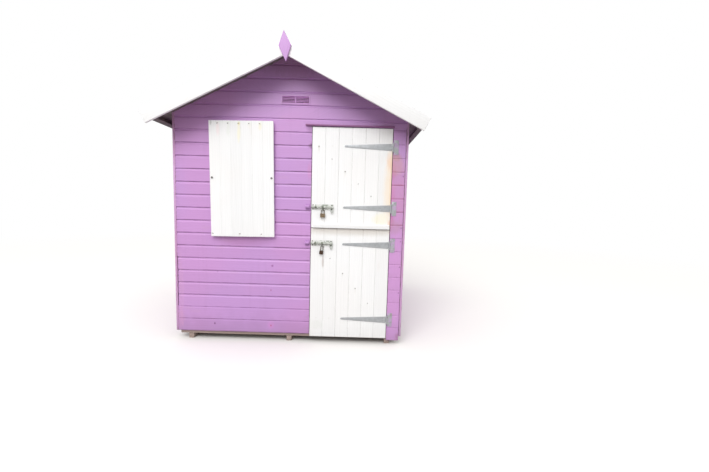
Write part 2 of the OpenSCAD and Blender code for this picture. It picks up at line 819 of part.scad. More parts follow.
// Tapered strap with a round tip and its knuckle
module hinge_strap() {
    tip_x = root_x - strap_len;
    difference() {
        union() {
            upright(leaf_y - steel_t, leaf_y) {
                polygon([[tip_x, -strap_tip / 2], [root_x, -strap_root / 2], [root_x, strap_root / 2],
                    [tip_x, strap_tip / 2]]);
                translate([tip_x, 0]) circle(strap_tip / 2);
                translate([root_x - over, -knuckle_h / 2]) square([hinge_x - root_x + over, knuckle_h]);
            }
            knuckle(-knuckle_h / 2, knuckle_h / 2, knuckle_r);
        }
        knuckle(-knuckle_h, knuckle_h, pin_r + pin_gap);
    }
}

module strap_pair(zs) color(galvanised)
    for (z = zs) translate([0, 0, z]) hinge_strap();

module leaf_boards(z0, z1) color(white_paint)
    translate([door_x0, leaf_y, z0])
        linear_extrude(z1 - z0) polygon(boards_plan(door_w, leaf_t, leaf_board_count));

// Ledges behind a leaf, level with its hinges
module leaf_ledges(zs) color(white_paint)
    for (z = zs)
        block([jamb_x0 + ledge_gap, jamb_x1 - ledge_gap], [leaf_y + leaf_t, leaf_y + leaf_t + ledge_t],
            [z - ledge_w / 2, z + ledge_w / 2]);

// Diagonal brace from under the upper ledge to the top of the lower one
module leaf_brace(zs) color(white_paint) {
    top_z = zs[0] - ledge_w / 2;
    foot_z = zs[1] + ledge_w / 2;
    x0 = door_x0 + brace_start;
    x1 = door_x1 - brace_end;
    half = brace_w / 2 * norm([x1 - x0, top_z - foot_z]) / (top_z - foot_z);
    upright(leaf_y + leaf_t, leaf_y + leaf_t + ledge_t)
        polygon([[x0 - half, top_z], [x1 - half, foot_z], [x1 + half, foot_z], [x0 + half, top_z]]);
}

// Bow round a bar along X, with legs back to the plate's face at y1
module bow(x0, x1, r, y1) {
    translate([x0, bar_y, 0]) rotate([0, 90, 0])
        difference() {
            linear_extrude(x1 - x0) {
                difference() {
                    circle(r + bow_t);
                    translate([-r - bow_t, 0]) square([2 * (r + bow_t), r + bow_t]);
                }
                for (side = [-1, 1])
                    translate([side * (r + bow_t / 2) - bow_t / 2, 0]) square([bow_t, y1 - bar_y]);
            }
            translate([0, 0, -over]) cylinder(r = r, h = x1 - x0 + 2 * over);
        }
}

// Back plate with two guides and the padlock's staple
module padbolt() color(galvanised) {
    face_y = leaf_y - steel_t;
    block([bolt_plate_x0, bolt_plate_x1], [face_y, leaf_y], [-bolt_plate_h / 2, bolt_plate_h / 2]);
    for (x = [guide_x1, guide_x2]) bow(x - guide_w / 2, x + guide_w / 2, bow_r, face_y);
    translate([guide_x2 - staple_t / 2, 0, 0]) padlock_staple(face_y);
}

// Lug under the second guide, with the hole that the shackle passes through
module padlock_staple(face_y) {
    hole_z0 = -shackle_top - 2 * shackle_r - shackle_gap;
    hole_z1 = -bow_r - bow_t;
    hole_y0 = bar_y - shackle_r - shackle_room;
    hole_y1 = bar_y + shackle_r + shackle_room;
    difference() {
        block([0, staple_t], [hole_y0 - bow_t, face_y], [hole_z0 - bow_t, -bow_r - bow_t / 2]);
        block([-over, staple_t + over], [hole_y0, hole_y1], [hole_z0, hole_z1]);
    }
}

// Sliding bar with its handle loop
module sliding_bar() color(galvanised) {
    bar_x1 = loop_x + loop_w / 2 + bow_t;
    translate([bar_x0, bar_y, 0]) rotate([0, 90, 0]) cylinder(r = bar_r, h = bar_x1 - bar_x0);
    upright(bar_y - loop_t / 2, bar_y + loop_t / 2)
        translate([loop_x, 0])
            difference() {
                stadium(loop_w, -loop_h, bar_r - bow_t / 2);
                stadium(loop_w - 2 * loop_t, loop_t - loop_h, -bar_r);
            }
}

// Socket on the wall that the bar slides into
module bolt_keeper() {
    half = keeper_r + bow_t + keeper_ear;
    block([keeper_x - keeper_w / 2, keeper_x + keeper_w / 2], [front_y - steel_t, front_y], [-half, half]);
    bow(keeper_x - keeper_w / 2, keeper_x + keeper_w / 2, keeper_r, front_y - steel_t);
}

module bolt_keepers() color(mauve)
    for (z = [bolt_z_upper, bolt_z_lower]) translate([0, 0, z]) bolt_keeper();

// Padlock hung in the staple, its body w wide and h high, leaning about the centre of its shackle's bend
module padlock(w, h, bend, leg, lean) color(brass_brown)
    translate([guide_x2, bar_y, -shackle_top - shackle_r - bend]) rotate([0, lean, 0]) {
        translate([0, 0, -leg - h / 2]) rotate([90, 0, 0])
            linear_extrude(lock_t, center = true) rounded_oblong(w, h, lock_corner);
        for (side = [-1, 1])
            translate([side * bend, 0, -leg - over]) cylinder(r = shackle_r, h = leg + over);
        rotate([90, 0, 0]) rotate_extrude(angle = 180) translate([bend, 0]) circle(shackle_r);
    }

module upper_door_boards() leaf_boards(split_z, door_top);

module upper_door_ledges() leaf_ledges(hinge_zs_upper);

module upper_door_brace() leaf_brace(hinge_zs_upper);

module upper_door_weather_bar() color(white_paint)
    along_x(door_x0 + weather_start, door_x1 - weather_end)
        polygon([[leaf_y - weather_t, split_z], [leaf_y, split_z], [leaf_y, split_z + weather_h],
            [leaf_y - weather_t, split_z + weather_h - weather_fall]]);

module upper_door_hinge_straps() strap_pair(hinge_zs_upper);

module upper_padbolt() translate([0, 0, bolt_z_upper]) padbolt();

module upper_padlock()
    translate([0, 0, bolt_z_upper]) padlock(upper_lock_w, upper_lock_h, upper_bend, upper_leg, 0);

module upper_bolt() translate([0, 0, bolt_z_upper]) sliding_bar();

module lower_door_boards() leaf_boards(door_z, split_z - leaf_gap);

module lower_door_ledges() leaf_ledges(hinge_zs_lower);

module lower_door_brace() leaf_brace(hinge_zs_lower);

module lower_door_hinge_straps() strap_pair(hinge_zs_lower);

module lower_padbolt() translate([0, 0, bolt_z_lower]) padbolt();

module lower_padlock()
    translate([0, 0, bolt_z_lower])
        padlock(lower_lock_w, lower_lock_h, lower_bend, lower_leg, lower_lock_lean);

module lower_bolt() translate([0, 0, bolt_z_lower]) sliding_bar();

floor_bearers();
floor_joists();
floor_boards();
front_wall_left();
front_wall_right();
front_gable();
left_wall();
right_wall();
back_wall();
gable_wall_studs();
gable_wall_rails();
side_wall_studs();
side_wall_plates();
roof_boards();
roof_felt();
ridge_capping();
ridge_beam();
roof_rafters();
eaves_battens();
front_bargeboards();
back_bargeboards();
finials();
corner_trims();
gable_vent();
door_drip_strip();
shutter_boards();
shutter_battens();
shutter_bolts();
window_frame();
window_glass();
hinge_plates();
bolt_keepers();
upper_door_boards();
upper_door_ledges();
upper_door_brace();
upper_door_weather_bar();
upper_door_hinge_straps();
upper_padbolt();
upper_padlock();
upper_bolt();
lower_door_boards();
lower_door_ledges();
lower_door_brace();
lower_door_hinge_straps();
lower_padbolt();
lower_padlock();
lower_bolt();
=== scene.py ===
"""Looks of a small timber beach hut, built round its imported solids.

All pieces are made in metres in the hut's own frame: the front faces -Y, +X is the viewer's right,
and the ground is at Z = 0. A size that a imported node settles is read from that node's box.
"""

from __future__ import annotations

import json
import logging
import math
from dataclasses import dataclass, replace
from enum import Enum
from functools import cache, partialmethod, reduce
from typing import Callable, Iterable, Sequence

import bmesh
import bpy
import numpy as np
from mathutils import Matrix, Vector

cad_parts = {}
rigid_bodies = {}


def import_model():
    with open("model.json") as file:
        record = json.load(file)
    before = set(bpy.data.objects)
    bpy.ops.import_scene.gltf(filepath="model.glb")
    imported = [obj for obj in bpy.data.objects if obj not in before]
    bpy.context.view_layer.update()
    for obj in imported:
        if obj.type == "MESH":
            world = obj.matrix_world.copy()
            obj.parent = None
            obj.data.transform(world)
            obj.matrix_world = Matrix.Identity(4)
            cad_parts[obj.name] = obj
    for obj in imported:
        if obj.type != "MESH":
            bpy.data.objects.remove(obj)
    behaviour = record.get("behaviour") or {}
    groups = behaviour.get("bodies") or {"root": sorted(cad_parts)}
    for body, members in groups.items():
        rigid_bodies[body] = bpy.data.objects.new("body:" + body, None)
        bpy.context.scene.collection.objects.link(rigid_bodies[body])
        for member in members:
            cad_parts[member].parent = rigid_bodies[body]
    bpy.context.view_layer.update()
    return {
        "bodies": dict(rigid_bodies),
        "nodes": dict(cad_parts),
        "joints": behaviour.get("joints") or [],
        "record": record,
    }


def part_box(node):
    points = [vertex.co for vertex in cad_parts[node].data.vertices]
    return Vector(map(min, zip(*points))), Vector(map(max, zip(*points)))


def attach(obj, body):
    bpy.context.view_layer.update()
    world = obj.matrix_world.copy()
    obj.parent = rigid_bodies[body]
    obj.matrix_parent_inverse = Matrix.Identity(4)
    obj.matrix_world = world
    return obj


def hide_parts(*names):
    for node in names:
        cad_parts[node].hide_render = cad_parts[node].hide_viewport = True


log = logging.getLogger("beach_hut")

Rgb = tuple[int, int, int]
Pair = tuple[float, float]
Triple = tuple[float, float, float]
Obj = bpy.types.Object

MM = 0.001
ROOF_PITCH = math.radians(26.4)
SHUTTER_TILT = math.radians(0.8)
FLAT_ANGLE = math.radians(1.0)
SHARP_ANGLE = math.radians(28)
MERGE_DISTANCE = 0.02 * MM
ORIGIN = (0.0, 0.0, 0.0)
FRONT = Vector((0, -1, 0))


class Body(str, Enum):
    """The hut's bodies."""

    HUT = "hut"
    UPPER_LEAF = "upper_leaf"
    LOWER_LEAF = "lower_leaf"
    UPPER_BAR = "upper_bolt_bar"
    LOWER_BAR = "lower_bolt_bar"


class Slot(str, Enum):
    """The record's material slots."""

    MAUVE = "mauve_cladding"
    WHITE = "white_paint"
    PINK = "pink_paint"
    ROOF_TIMBER = "roof_timber"
    FRAME_TIMBER = "frame_timber"
    FLOOR_TIMBER = "floor_timber"
    WEATHERED = "weathered_timber"
    FELT = "roof_felt"
    VENT = "vent_plastic"
    ZINC = "galvanised_steel"
    PAINTED_STEEL = "painted_steel"
    BRASS = "padlock_brass"
    IRON = "dark_iron"
    GLASS = "glass"


class Cut(str, Enum):
    """What a cut leaves of a piece: what lies inside the cutter, or what lies outside it."""

    INSIDE = "INTERSECT"
    OUTSIDE = "DIFFERENCE"


@dataclass(frozen=True)
class Box:
    """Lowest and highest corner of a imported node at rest."""

    lo: Vector
    hi: Vector

    @staticmethod
    def of(node: str) -> Box:
        """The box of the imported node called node."""
        return Box(*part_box(node))

    @property
    def mid(self) -> Vector:
        """Middle of the box."""
        return (self.lo + self.hi) / 2

    @property
    def size(self) -> Vector:
        """Extent of the box along each axis."""
        return self.hi - self.lo


@dataclass(frozen=True)
class Leaf:
    """One leaf of the door: its word in the nodes' names, its body and its bolt's body."""

    word: str
    body: Body
    bar: Body
    strap_half: float = 30 * MM
    bar_half: float = 8 * MM

    @property
    def hinges(self) -> Pair:
        """Heights of its two straps, upper one first."""
        box = Box.of(f"{self.word}_door_hinge_straps")
        return box.hi.z - self.strap_half, box.lo.z + self.strap_half

    @property
    def bolt(self) -> float:
        """Height of its bolt's bar."""
        return Box.of(f"{self.word}_bolt").hi.z - self.bar_half


UPPER = Leaf("upper", Body.UPPER_LEAF, Body.UPPER_BAR)
LOWER = Leaf("lower", Body.LOWER_LEAF, Body.LOWER_BAR)


class Places:
    """Lines that several sub-assemblies share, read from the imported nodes."""

    def __init__(self) -> None:
        """Reads the lines from the frame."""
        wall, cap = Box.of("front_wall_left"), Box.of("ridge_capping")
        self.front, self.base = wall.lo.y, wall.lo.z
        self.back, self.side = Box.of("back_wall").hi.y, Box.of("right_wall").hi.x
        self.leaf_front = Box.of("upper_door_boards").lo.y
        self.ridge, self.roof_ends = cap.hi.z, (cap.lo.y, cap.hi.y)


def linear(colour: Rgb) -> tuple[float, ...]:
    """Turns a screen colour of 0 to 255 a channel into Blender's linear colour."""
    screen = (channel / 255 for channel in colour)
    return (*(c / 12.92 if c <= 0.04045 else ((c + 0.055) / 1.055) ** 2.4 for c in screen), 1.0)


def feed(socket: bpy.types.NodeSocket, value: object) -> None:
    """Links an input to another socket, or sets its value.

    Args:
        socket: The input.
        value: A wire, a socket, a node for its first output, or a plain value. A colour of three
            parts is a screen colour.
    """
    value = value.socket if isinstance(value, Wire) else value
    value = value.outputs[0] if isinstance(value, bpy.types.Node) else value
    if isinstance(value, bpy.types.NodeSocket):
        socket.id_data.links.new(value, socket)
    elif socket.type == "RGBA" and len(value) == 3:
        socket.default_value = linear(value)
    else:
        socket.default_value = value


def add(tree: bpy.types.NodeTree, kind: str, feeds: dict | None = None, **settings: object) -> bpy.types.Node:
    """Adds one node to a shader or geometry node tree.

    Args:
        tree: The tree.
        kind: The node's type name.
        feeds: What its inputs get, by name or index.
        **settings: The node's own properties.

    Returns:
        The new node.
    """
    node = tree.nodes.new(kind)
    for name, value in settings.items():
        setattr(node, name, value)
    for key, value in (feeds or {}).items():
        feed(node.inputs[key], value)
    return node


def blank(owner: bpy.types.Material | bpy.types.World) -> bpy.types.NodeTree:
    """Gives a material or a world an empty node tree.

    Args:
        owner: The material or the world.

    Returns:
        The tree.
    """
    owner.use_nodes = True
    owner.node_tree.nodes.clear()
    return owner.node_tree


class Wire:
    """A node's output, from which sums, masks, textures and mixed colours can be made."""

    def __init__(self, socket: bpy.types.NodeSocket) -> None:
        """Takes the output."""
        self.socket = socket
        self.tree = socket.id_data

    def calc(self, operation: str, *others: object, **settings: object) -> Wire:
        """Feeds this output into a Math node, or a vector or colour into a Vector Math node.

        Args:
            operation: The node's operation.
            *others: The operation's other terms.
            **settings: The node's other properties.

        Returns:
            The result.
        """
        kind = "VectorMath" if self.socket.type in ("VECTOR", "RGBA") else "Math"
        feeds = dict(enumerate((self, *others)))
        node = add(self.tree, f"ShaderNode{kind}", feeds, operation=operation, **settings)
        return Wire(node.outputs["Value" if operation == "LENGTH" else 0])

    __add__ = partialmethod(calc, "ADD")
    __sub__ = partialmethod(calc, "SUBTRACT")
    __mul__ = partialmethod(calc, "MULTIPLY")
    __truediv__ = partialmethod(calc, "DIVIDE")
    __mod__ = partialmethod(calc, "FLOORED_MODULO")
    __abs__ = partialmethod(calc, "ABSOLUTE")
    least = partialmethod(calc, "MINIMUM")
    most = partialmethod(calc, "MAXIMUM")

    def parts(self) -> list[Wire]:
        """The three parts of a vector or colour."""
        return [Wire(part) for part in add(self.tree, "ShaderNodeSeparateXYZ", {0: self}).outputs]

    def texture(self, kind: str, output: str | int = 0, **feeds: object) -> Wire:
        """One output of a texture at this point."""
        return Wire(add(self.tree, f"ShaderNodeTex{kind}", {"Vector": self, **feeds}).outputs[output])

    def noise(self, scale: object = 1.0, detail: float = 3.0) -> Wire:
        """Noise of about 0 to 1 at this point."""
        return self.texture("Noise", Scale=scale, Detail=detail, Roughness=0.55)

    def band(self, start: object, end: object) -> Wire:
        """Rises smoothly from 0 at start to 1 at end, whichever of them is larger."""
        feeds = {"Value": self, "From Min": start, "From Max": end}
        return Wire(add(self.tree, "ShaderNodeMapRange", feeds, interpolation_type="SMOOTHSTEP").outputs[0])

    def spread(self, low: float, high: float) -> Wire:
        """Stretches a value of 0 to 1 over low to high."""
        feeds = {"Value": self, "To Min": low, "To Max": high}
        return Wire(add(self.tree, "ShaderNodeMapRange", feeds).outputs[0])

    def blend(self, first: object, second: object) -> Wire:
        """Mixes two colours, with this value as the factor."""
        feeds = {0: self, 6: first, 7: second}
        return Wire(add(self.tree, "ShaderNodeMix", feeds, data_type="RGBA").outputs[2])

    def bump(self, depth: float) -> bpy.types.Node:
        """Turns a height of about 0 to 1 into a normal. Depth is what 1 stands for, in metres."""
        return add(self.tree, "ShaderNodeBump", {"Strength": 1.0, "Distance": depth, "Height": self})


Outputs = dict[str, Wire]


def effect(label: str, **inputs: object) -> Callable[[Callable], Callable]:
    """Makes a shader node group, built once, of a function from its inputs to its outputs by name.

    Args:
        label: The group's name.
        **inputs: Default value by input name, in the function's order.

    Returns:
        A decorator. What it makes takes a wire for the first input and values for others by
        name, places the group in that wire's tree, and returns its outputs by name.
    """

    def decorate(inside: Callable) -> Callable:
        """Turns the function for the inside into the one that places the group.

        Args:
            inside: Makes the outputs by name from wires for the inputs.

        Returns:
            The function that places the group.
        """

        @cache
        def group() -> bpy.types.NodeTree:
            """Builds the group on its first use.

            Returns:
                The group.
            """
            tree = bpy.data.node_groups.new(label, "ShaderNodeTree")
            for name, value in inputs.items():
                kind = "NodeSocketVector" if isinstance(value, tuple) else "NodeSocketFloat"
                made = tree.interface.new_socket(name.capitalize(), in_out="INPUT", socket_type=kind)
                made.default_value = value
            given = add(tree, "NodeGroupInput").outputs
            results = inside(*(Wire(given[k]) for k in range(len(inputs))))
            for name, wire in results.items():
                kind = "NodeSocketColor" if wire.socket.type == "RGBA" else "NodeSocketFloat"
                tree.interface.new_socket(name, in_out="OUTPUT", socket_type=kind)
            add(tree, "NodeGroupOutput", results)
            return tree

        def place(first: Wire, **feeds: object) -> Outputs:
            """Places the group.

            Args:
                first: What its first input gets.
                **feeds: What the others get, by name.

            Returns:
                Its outputs by name.
            """
            named = {name.capitalize(): value for name, value in feeds.items()}
            node = add(first.tree, "ShaderNodeGroup", {0: first, **named}, node_tree=group())
            return {socket.name: Wire(socket) for socket in node.outputs}

        return place

    return decorate


@effect("Board grain", grain=ORIGIN, tone=0.5)
def board_grain(grain: Wire, tone: Wire) -> Outputs:
    """Fibres, growth rings, knots and brush marks that run along a board.

    Args:
        grain: The point in the board's own frame.
        tone: The board's tone.

    Returns:
        The four values by name.
    """
    place = grain + tone * 41.0
    sway = (place * (1.6, 6.0, 6.0)).noise(detail=2.0)
    turn = place.parts()[1] * 330.0 + sway * 26.0
    return {
        "Fibre": (place * (5.0, 420.0, 420.0)).noise(),
        "Rings": turn.calc("SINE") * 0.5 + 0.5,
        "Knots": (place * (2.1, 7.0, 7.0)).texture("Voronoi", "Distance", Scale=1.0).band(0.16, 0.06),
        "Brush": (place * (1.8, 70.0, 70.0)).noise(detail=2.0),
    }


@effect("Board arris", grain=ORIGIN, half=(1.0, 1.0, 1.0), reach=0.003, tone=0.5)
def board_arris(grain: Wire, half: Wire, reach: Wire, tone: Wire) -> Outputs:
    """How near a point of a board is to the board's edges and to its ends.

    Args:
        grain: The point in the board's own frame.
        half: Half of the board's size.
        reach: Width of the worn edges.
        tone: The board's tone.

    Returns:
        Masks of the worn edges, the worn ends and the joints.
    """
    ends, sides, faces = (half - abs(grain)).parts()
    low = ends.least(sides).least(faces)
    high = ends.most(sides).most(faces)
    middle = ends + sides + faces - low - high
    broken = ((grain + tone * 17.0) * (22.0, 90.0, 90.0)).noise(detail=4.0).band(0.42, 0.72)
    return {
        "Edge": middle.band(reach * (broken * 2.6 + 0.02), 0.0),
        "End": ends.band(0.06, 0.0) * broken,
        "Seam": sides.band(0.006, 0.0),
    }


@effect("Weather", position=ORIGIN)
def weather(position: Wire) -> Outputs:
    """Splashes near the ground, runs down the walls and soft blotches.

    Args:
        position: The point in the hut's frame.

    Returns:
        The three masks by name.
    """
    top = (position.noise(9.0, 4.0) * 1.6 + 0.2) * 0.3
    return {
        "Splash": position.parts()[2].band(top, 0.04),
        "Runs": (position * (26.0, 26.0, 1.3)).noise(detail=4.0).band(0.52, 0.78),
        "Blotch": position.noise(1.7, 2.0),
    }


@effect("Nail bleed", across=0.0, up=0.0, size=0.006, run=0.05)
def nail_bleed(across: Wire, up: Wire, size: Wire, run: Wire) -> Outputs:
    """Mark round a nail or screw, with a run below it.

    Args:
        across: How far the point is from the nail to the side.
        up: How far it is above the nail.
        size: Reach of the mark.
        run: Length of the run.

    Returns:
        The two masks by name.
    """
    far = (across * across + up * up).calc("SQRT")
    below = up * -1.0
    streak = abs(across).band(size, 0.0) * below.band(run, 0.0) * below.calc("GREATER_THAN", 0.0)
    return {"Halo": far.band(size, 0.0), "Run": streak}


@effect("Worn patch", position=ORIGIN, centre=ORIGIN, reach=(0.1, 0.1, 0.1), broken=0.6)
def worn_patch(position: Wire, centre: Wire, reach: Wire, broken: Wire) -> Outputs:
    """A soft patch with a broken border round one place.

    Args:
        position: The point.
        centre: The patch's middle.
        reach: How far it reaches each way.
        broken: How broken its border is.

    Returns:
        The patch's mask.
    """
    swing = ((position * (60.0, 60.0, 18.0)).noise(detail=4.0) - 0.5) * broken
    far = ((position - centre) / reach).calc("LENGTH") + swing * 2.0
    return {"Mask": far.band(1.0, 0.35)}


@effect("Rust", position=ORIGIN, scale=60.0)
def rust_bloom(position: Wire, scale: Wire) -> Outputs:
    """Colour, spread and height of rust.

    Args:
        position: The point.
        scale: How fine the rust is.

    Returns:
        The colour and the two values by name.
    """
    fine = position.noise(scale, 5.0)
    colour = fine.band(0.35, 0.7).blend((74, 44, 30), (168, 98, 52))
    return {"Colour": colour, "Bloom": position.noise(scale * 0.3), "Height": fine}


def board_layers(position: Wire, wear: float) -> tuple[Wire, Outputs, Outputs, Outputs]:
    """Places the effects that all boards share.

    Args:
        position: The point in the hut's frame.
        wear: Width of the worn edges.

    Returns:
        The board's tone, its grain, its edges and the weather.
    """
    tone, grain, half = (
        Wire(add(position.tree, "ShaderNodeAttribute", attribute_name=name).outputs[output])
        for name, output in (("tone", "Fac"), ("grain", "Vector"), ("half", "Vector"))
    )
    arris = board_arris(grain, half=half, reach=wear, tone=tone)
    return tone, board_grain(grain, tone=tone), arris, weather(position)


@dataclass(frozen=True)
class ColourPatch:
    """A coloured patch on a face towards the front or back: its middle and its reach. Most are marks, rust or
    dirt; some are painted shade, as said where they stand.
    """

    x: float
    z: float
    across: float
    up: float
    colour: Rgb
    strength: float = 0.6
    broken: float = 0.6


NailOffsets = list[tuple[Wire, Wire, float]]


@dataclass(frozen=True)
class ShiplapNails:
    """Nails through horizontal boards: one in each board at each column along X or Y."""

    axis: int
    columns: tuple[float, ...]
    base: float
    cover: float
    drop: float = 29 * MM

    @property
    def rise(self) -> float:
        """Height of each nail over its board's lower edge."""
        return self.cover - self.drop

    def offsets(self, position: Wire) -> NailOffsets:
        """Finds the nearest nail to a point.

        Args:
            position: The point.

        Returns:
            How far it is from that nail, across and up, and how strongly the nail marks the paint.
        """
        parts = position.parts()
        across = reduce(Wire.least, [abs(parts[self.axis] - column) for column in self.columns])
        return [(across, (parts[2] - self.base) % self.cover - self.rise, 1.0)]

    def places(self, low: float, high: float) -> Iterable[Pair]:
        """Places the nails between two heights.

        Args:
            low: The lower height.
            high: The upper height.

        Returns:
            Column and height of each nail.
        """
        first, last = (math.ceil((z - self.base) / self.cover) for z in (low, high))
        for row in range(first, last + 1):
            height = self.base + row * self.cover + self.rise
            if low < height < high:
                yield from ((column, height) for column in self.columns)


@dataclass(frozen=True)
class LeafNails:
    """Nails through upright boards: one in each board at each ledge and at the brace."""

    start: float
    width: float
    count: int
    levels: Pair
    brace: tuple[Pair, Pair]
    ledge_stain: float = 0.1

    def line(self) -> Pair:
        """Finds the line of the brace.

        Returns:
            Its slope, and its height at the first board's free edge.
        """
        (x0, z0), (x1, z1) = self.brace
        slope = (z1 - z0) / (x1 - x0)
        return slope, z0 - slope * (x0 - self.start)

    def offsets(self, position: Wire) -> NailOffsets:
        """Finds the nearest nail to a point at each level, and at the brace.

        Args:
            position: The point.

        Returns:
            How far it is from each of them, across and up, and how strongly that nail marks the paint.
        """
        x, _, z = position.parts()
        run = x - self.start
        across = run % self.width - self.width / 2
        slope, height = self.line()
        rows = [(across, z - level, self.ledge_stain) for level in self.levels]
        return rows + [(across, z - ((run - across) * slope + height), 1.0)]

    def places(self) -> tuple[list[Pair], list[Pair]]:
        """Places the nails into the ledges and into the brace.

        Returns:
            Place across and height of each nail into a ledge, and of each into the brace.
        """
        runs = [(index + 0.5) * self.width for index in range(self.count)]
        slope, height = self.line()
        (first, _), (last, _) = self.brace
        braced = [run for run in runs if first < self.start + run < last]
        ledges = [(self.start + run, level) for run in runs for level in self.levels]
        return ledges, [(self.start + run, height + slope * run) for run in braced]


@dataclass(frozen=True)
class NailPoints:
    """A few nails at places of their own, as points across and up."""

    points: tuple[Pair, ...]

    def offsets(self, position: Wire) -> NailOffsets:
        """How far a point is from each nail, across and up, and how strongly that marks the paint."""
        x, _, z = position.parts()
        return [(x - across, z - up, 1.0) for across, up in self.points]


@dataclass(frozen=True)
class LapShadowAndRustLines:
    """Painted shadow lines along the boards' laps, fading higher up under the roof's shade, and reddened with
    rust over one stretch of the height.
    """

    base: float
    cover: float
    top: float
    red: Pair
    strength: float = 0.6
    # Heights over each lap of the painted shadow line (thin) and of the rust band (wide).
    thin: Pair = (8 * MM, 5 * MM)
    wide: Pair = (16 * MM, 8 * MM)
    # colour is the painted shadow's, red_colour the rust's.
    colour: Rgb = (118, 62, 124)
    red_colour: Rgb = (164, 68, 124)

    def over(self, position: Wire, colour: Wire) -> Wire:
        """Lays the painted shadow lines, and the rust, over a colour.

        Args:
            position: The point.
            colour: The colour so far.

        Returns:
            The colour with the lines.
        """
        up = position.parts()[2]
        height = (up - (self.base - 1 * MM)) % self.cover
        rough = position.noise(7.0, 2.0).band(0.4, 0.6)
        fade = up.band(self.top + 0.3, self.top).spread(0.25, 1.0)
        amount = rough.spread(self.strength * 0.45, self.strength) * fade
        colour = (height.band(*self.thin) * amount).blend(colour, self.colour)
        low, high = self.red
        red = up.band(low - 0.03, low + 0.03) * up.band(high + 0.03, high - 0.03)
        wide = height.band(*self.wide) * rough.spread(0.3, 0.75)
        return (wide * red).blend(colour, self.red_colour)


@dataclass(frozen=True)
class Finish:
    """What every finish has: a name, the record's slot and two colours that it varies between."""

    name: str
    slot: Slot
    colour: Rgb = (201, 154, 213)
    drift: Rgb = (205, 153, 211)

    def material(self) -> bpy.types.Material:
        """Gives the finish's material, which is built on its first use.

        Returns:
            The material.
        """
        found = bpy.data.materials.get(self.name)
        if found:
            return found
        made = bpy.data.materials.new(self.name)
        tree = blank(made)
        position = Wire(add(tree, "ShaderNodeTexCoord").outputs["Object"])
        shader = add(tree, "ShaderNodeBsdfPrincipled", self.feeds(position))
        add(tree, "ShaderNodeOutputMaterial", {"Surface": shader})
        return made

    def feeds(self, position: Wire) -> dict[str, object]:
        """What the shader's inputs get. Each kind of finish has its own."""
        raise NotImplementedError


@dataclass(frozen=True)
class Paint(Finish):
    """Brushed paint on boards, with worn edges, dirt, marks round nails and coloured patches; some patches,
    and the dark lines at the laps, are painted shade.
    """

    wood: Rgb = (128, 104, 84)
    dirt: Rgb = (104, 82, 84)
    gloss: float = 0.42
    wear: float = 0.0012
    seam: float = 0.0
    ends: float = 0.12
    grime: float = 0.10
    splash: float = 0.20
    nails: ShiplapNails | LeafNails | NailPoints | None = None
    bleed: float = 0.5
    bleed_size: float = 7 * MM
    halo: Rgb = (84, 62, 52)
    run: Rgb = (178, 150, 112)
    laps: LapShadowAndRustLines | None = None
    colour_patches: tuple[ColourPatch, ...] = ()
    face: float = 0.0
    patch_depth: float = 0.1

    def feeds(self, position: Wire) -> dict[str, object]:
        """What the shader of the painted boards gets.

        Args:
            position: The point.

        Returns:
            Values by input name.
        """
        tone, fibre, arris, air = board_layers(position, self.wear)
        colour = air["Blotch"].band(0.36, 0.66).blend(self.colour, self.drift)
        colour = colour * (tone.spread(0.97, 1.015) + fibre["Brush"].spread(-0.035, 0.035))
        colour = (fibre["Rings"] * 0.03).blend(colour, self.wood)
        colour = (fibre["Knots"] * 0.05).blend(colour, (196, 164, 112))
        dirty = (air["Runs"] * self.grime).most(air["Splash"] * self.splash).most(arris["Seam"] * self.seam)
        colour = self.with_nails(position, dirty.blend(colour, self.dirt))
        # Painted shadow lines along the laps, reddened with rust over one stretch.
        if self.laps:
            colour = self.laps.over(position, colour)
        # Coloured patches: most are marks, rust or dirt, and some are painted shade.
        for colour_patch in self.colour_patches:
            centre, reach = (colour_patch.x, self.face, colour_patch.z), (colour_patch.across, self.patch_depth, colour_patch.up)
            mask = worn_patch(position, centre=centre, reach=reach, broken=colour_patch.broken)["Mask"]
            colour = (mask * colour_patch.strength).blend(colour, colour_patch.colour)
        bare = arris["Edge"].most(arris["End"] * self.ends)
        height = fibre["Rings"] * 0.35 + fibre["Fibre"] - bare * 1.4
        return {
            "Base Color": bare.blend(colour, self.wood),
            "Roughness": (fibre["Fibre"] * 0.18 + (self.gloss - 0.06)).most(bare * 0.8),
            "Normal": height.bump(0.00022),
        }

    def with_nails(self, position: Wire, colour: Wire) -> Wire:
        """Lays the marks round the nails over a colour.

        Args:
            position: The point.
            colour: The colour so far.

        Returns:
            The stained colour.
        """
        if self.nails is None:
            return colour
        uneven = position.noise(5.0, 1.0).band(0.38, 0.66)
        amount = uneven * self.bleed + self.bleed * 0.25
        for across, up, weight in self.nails.offsets(position):
            marks = nail_bleed(across, up=up, size=self.bleed_size, run=0.07)
            colour = (marks["Run"] * (amount * (0.45 * weight))).blend(colour, self.run)
            colour = (marks["Halo"] * (amount * weight)).blend(colour, self.halo)
        return colour


@dataclass(frozen=True)
class Timber(Finish):
    """Bare timber, sawn or planed, from fresh to weathered."""

    grey: Rgb = (132, 124, 114)
    age: float = 0.25
    rough: float = 0.72

    def feeds(self, position: Wire) -> dict[str, object]:
        """What the shader of the bare timber gets.

        Args:
            position: The point.

        Returns:
            Values by input name.
        """
        tone, fibre, arris, air = board_layers(position, 3 * MM)
        colour = (fibre["Fibre"] * 0.55 + fibre["Rings"] * 0.45).blend(self.colour, self.drift)
        colour = (fibre["Knots"] * 0.75).blend(colour, (92, 58, 34)) * tone.spread(0.82, 1.08)
        aged = air["Blotch"].calc("MULTIPLY_ADD", 0.5, self.age - 0.2, use_clamp=True)
        dirty = (arris["Edge"] * 0.5).most(arris["End"] * 0.4)
        return {
            "Base Color": dirty.blend(aged.blend(colour, self.grey), (84, 70, 58)),
            "Roughness": fibre["Fibre"] * 0.2 + (self.rough - 0.1),
            "Normal": (fibre["Fibre"] + fibre["Rings"] * 0.5).bump(0.0004),
        }


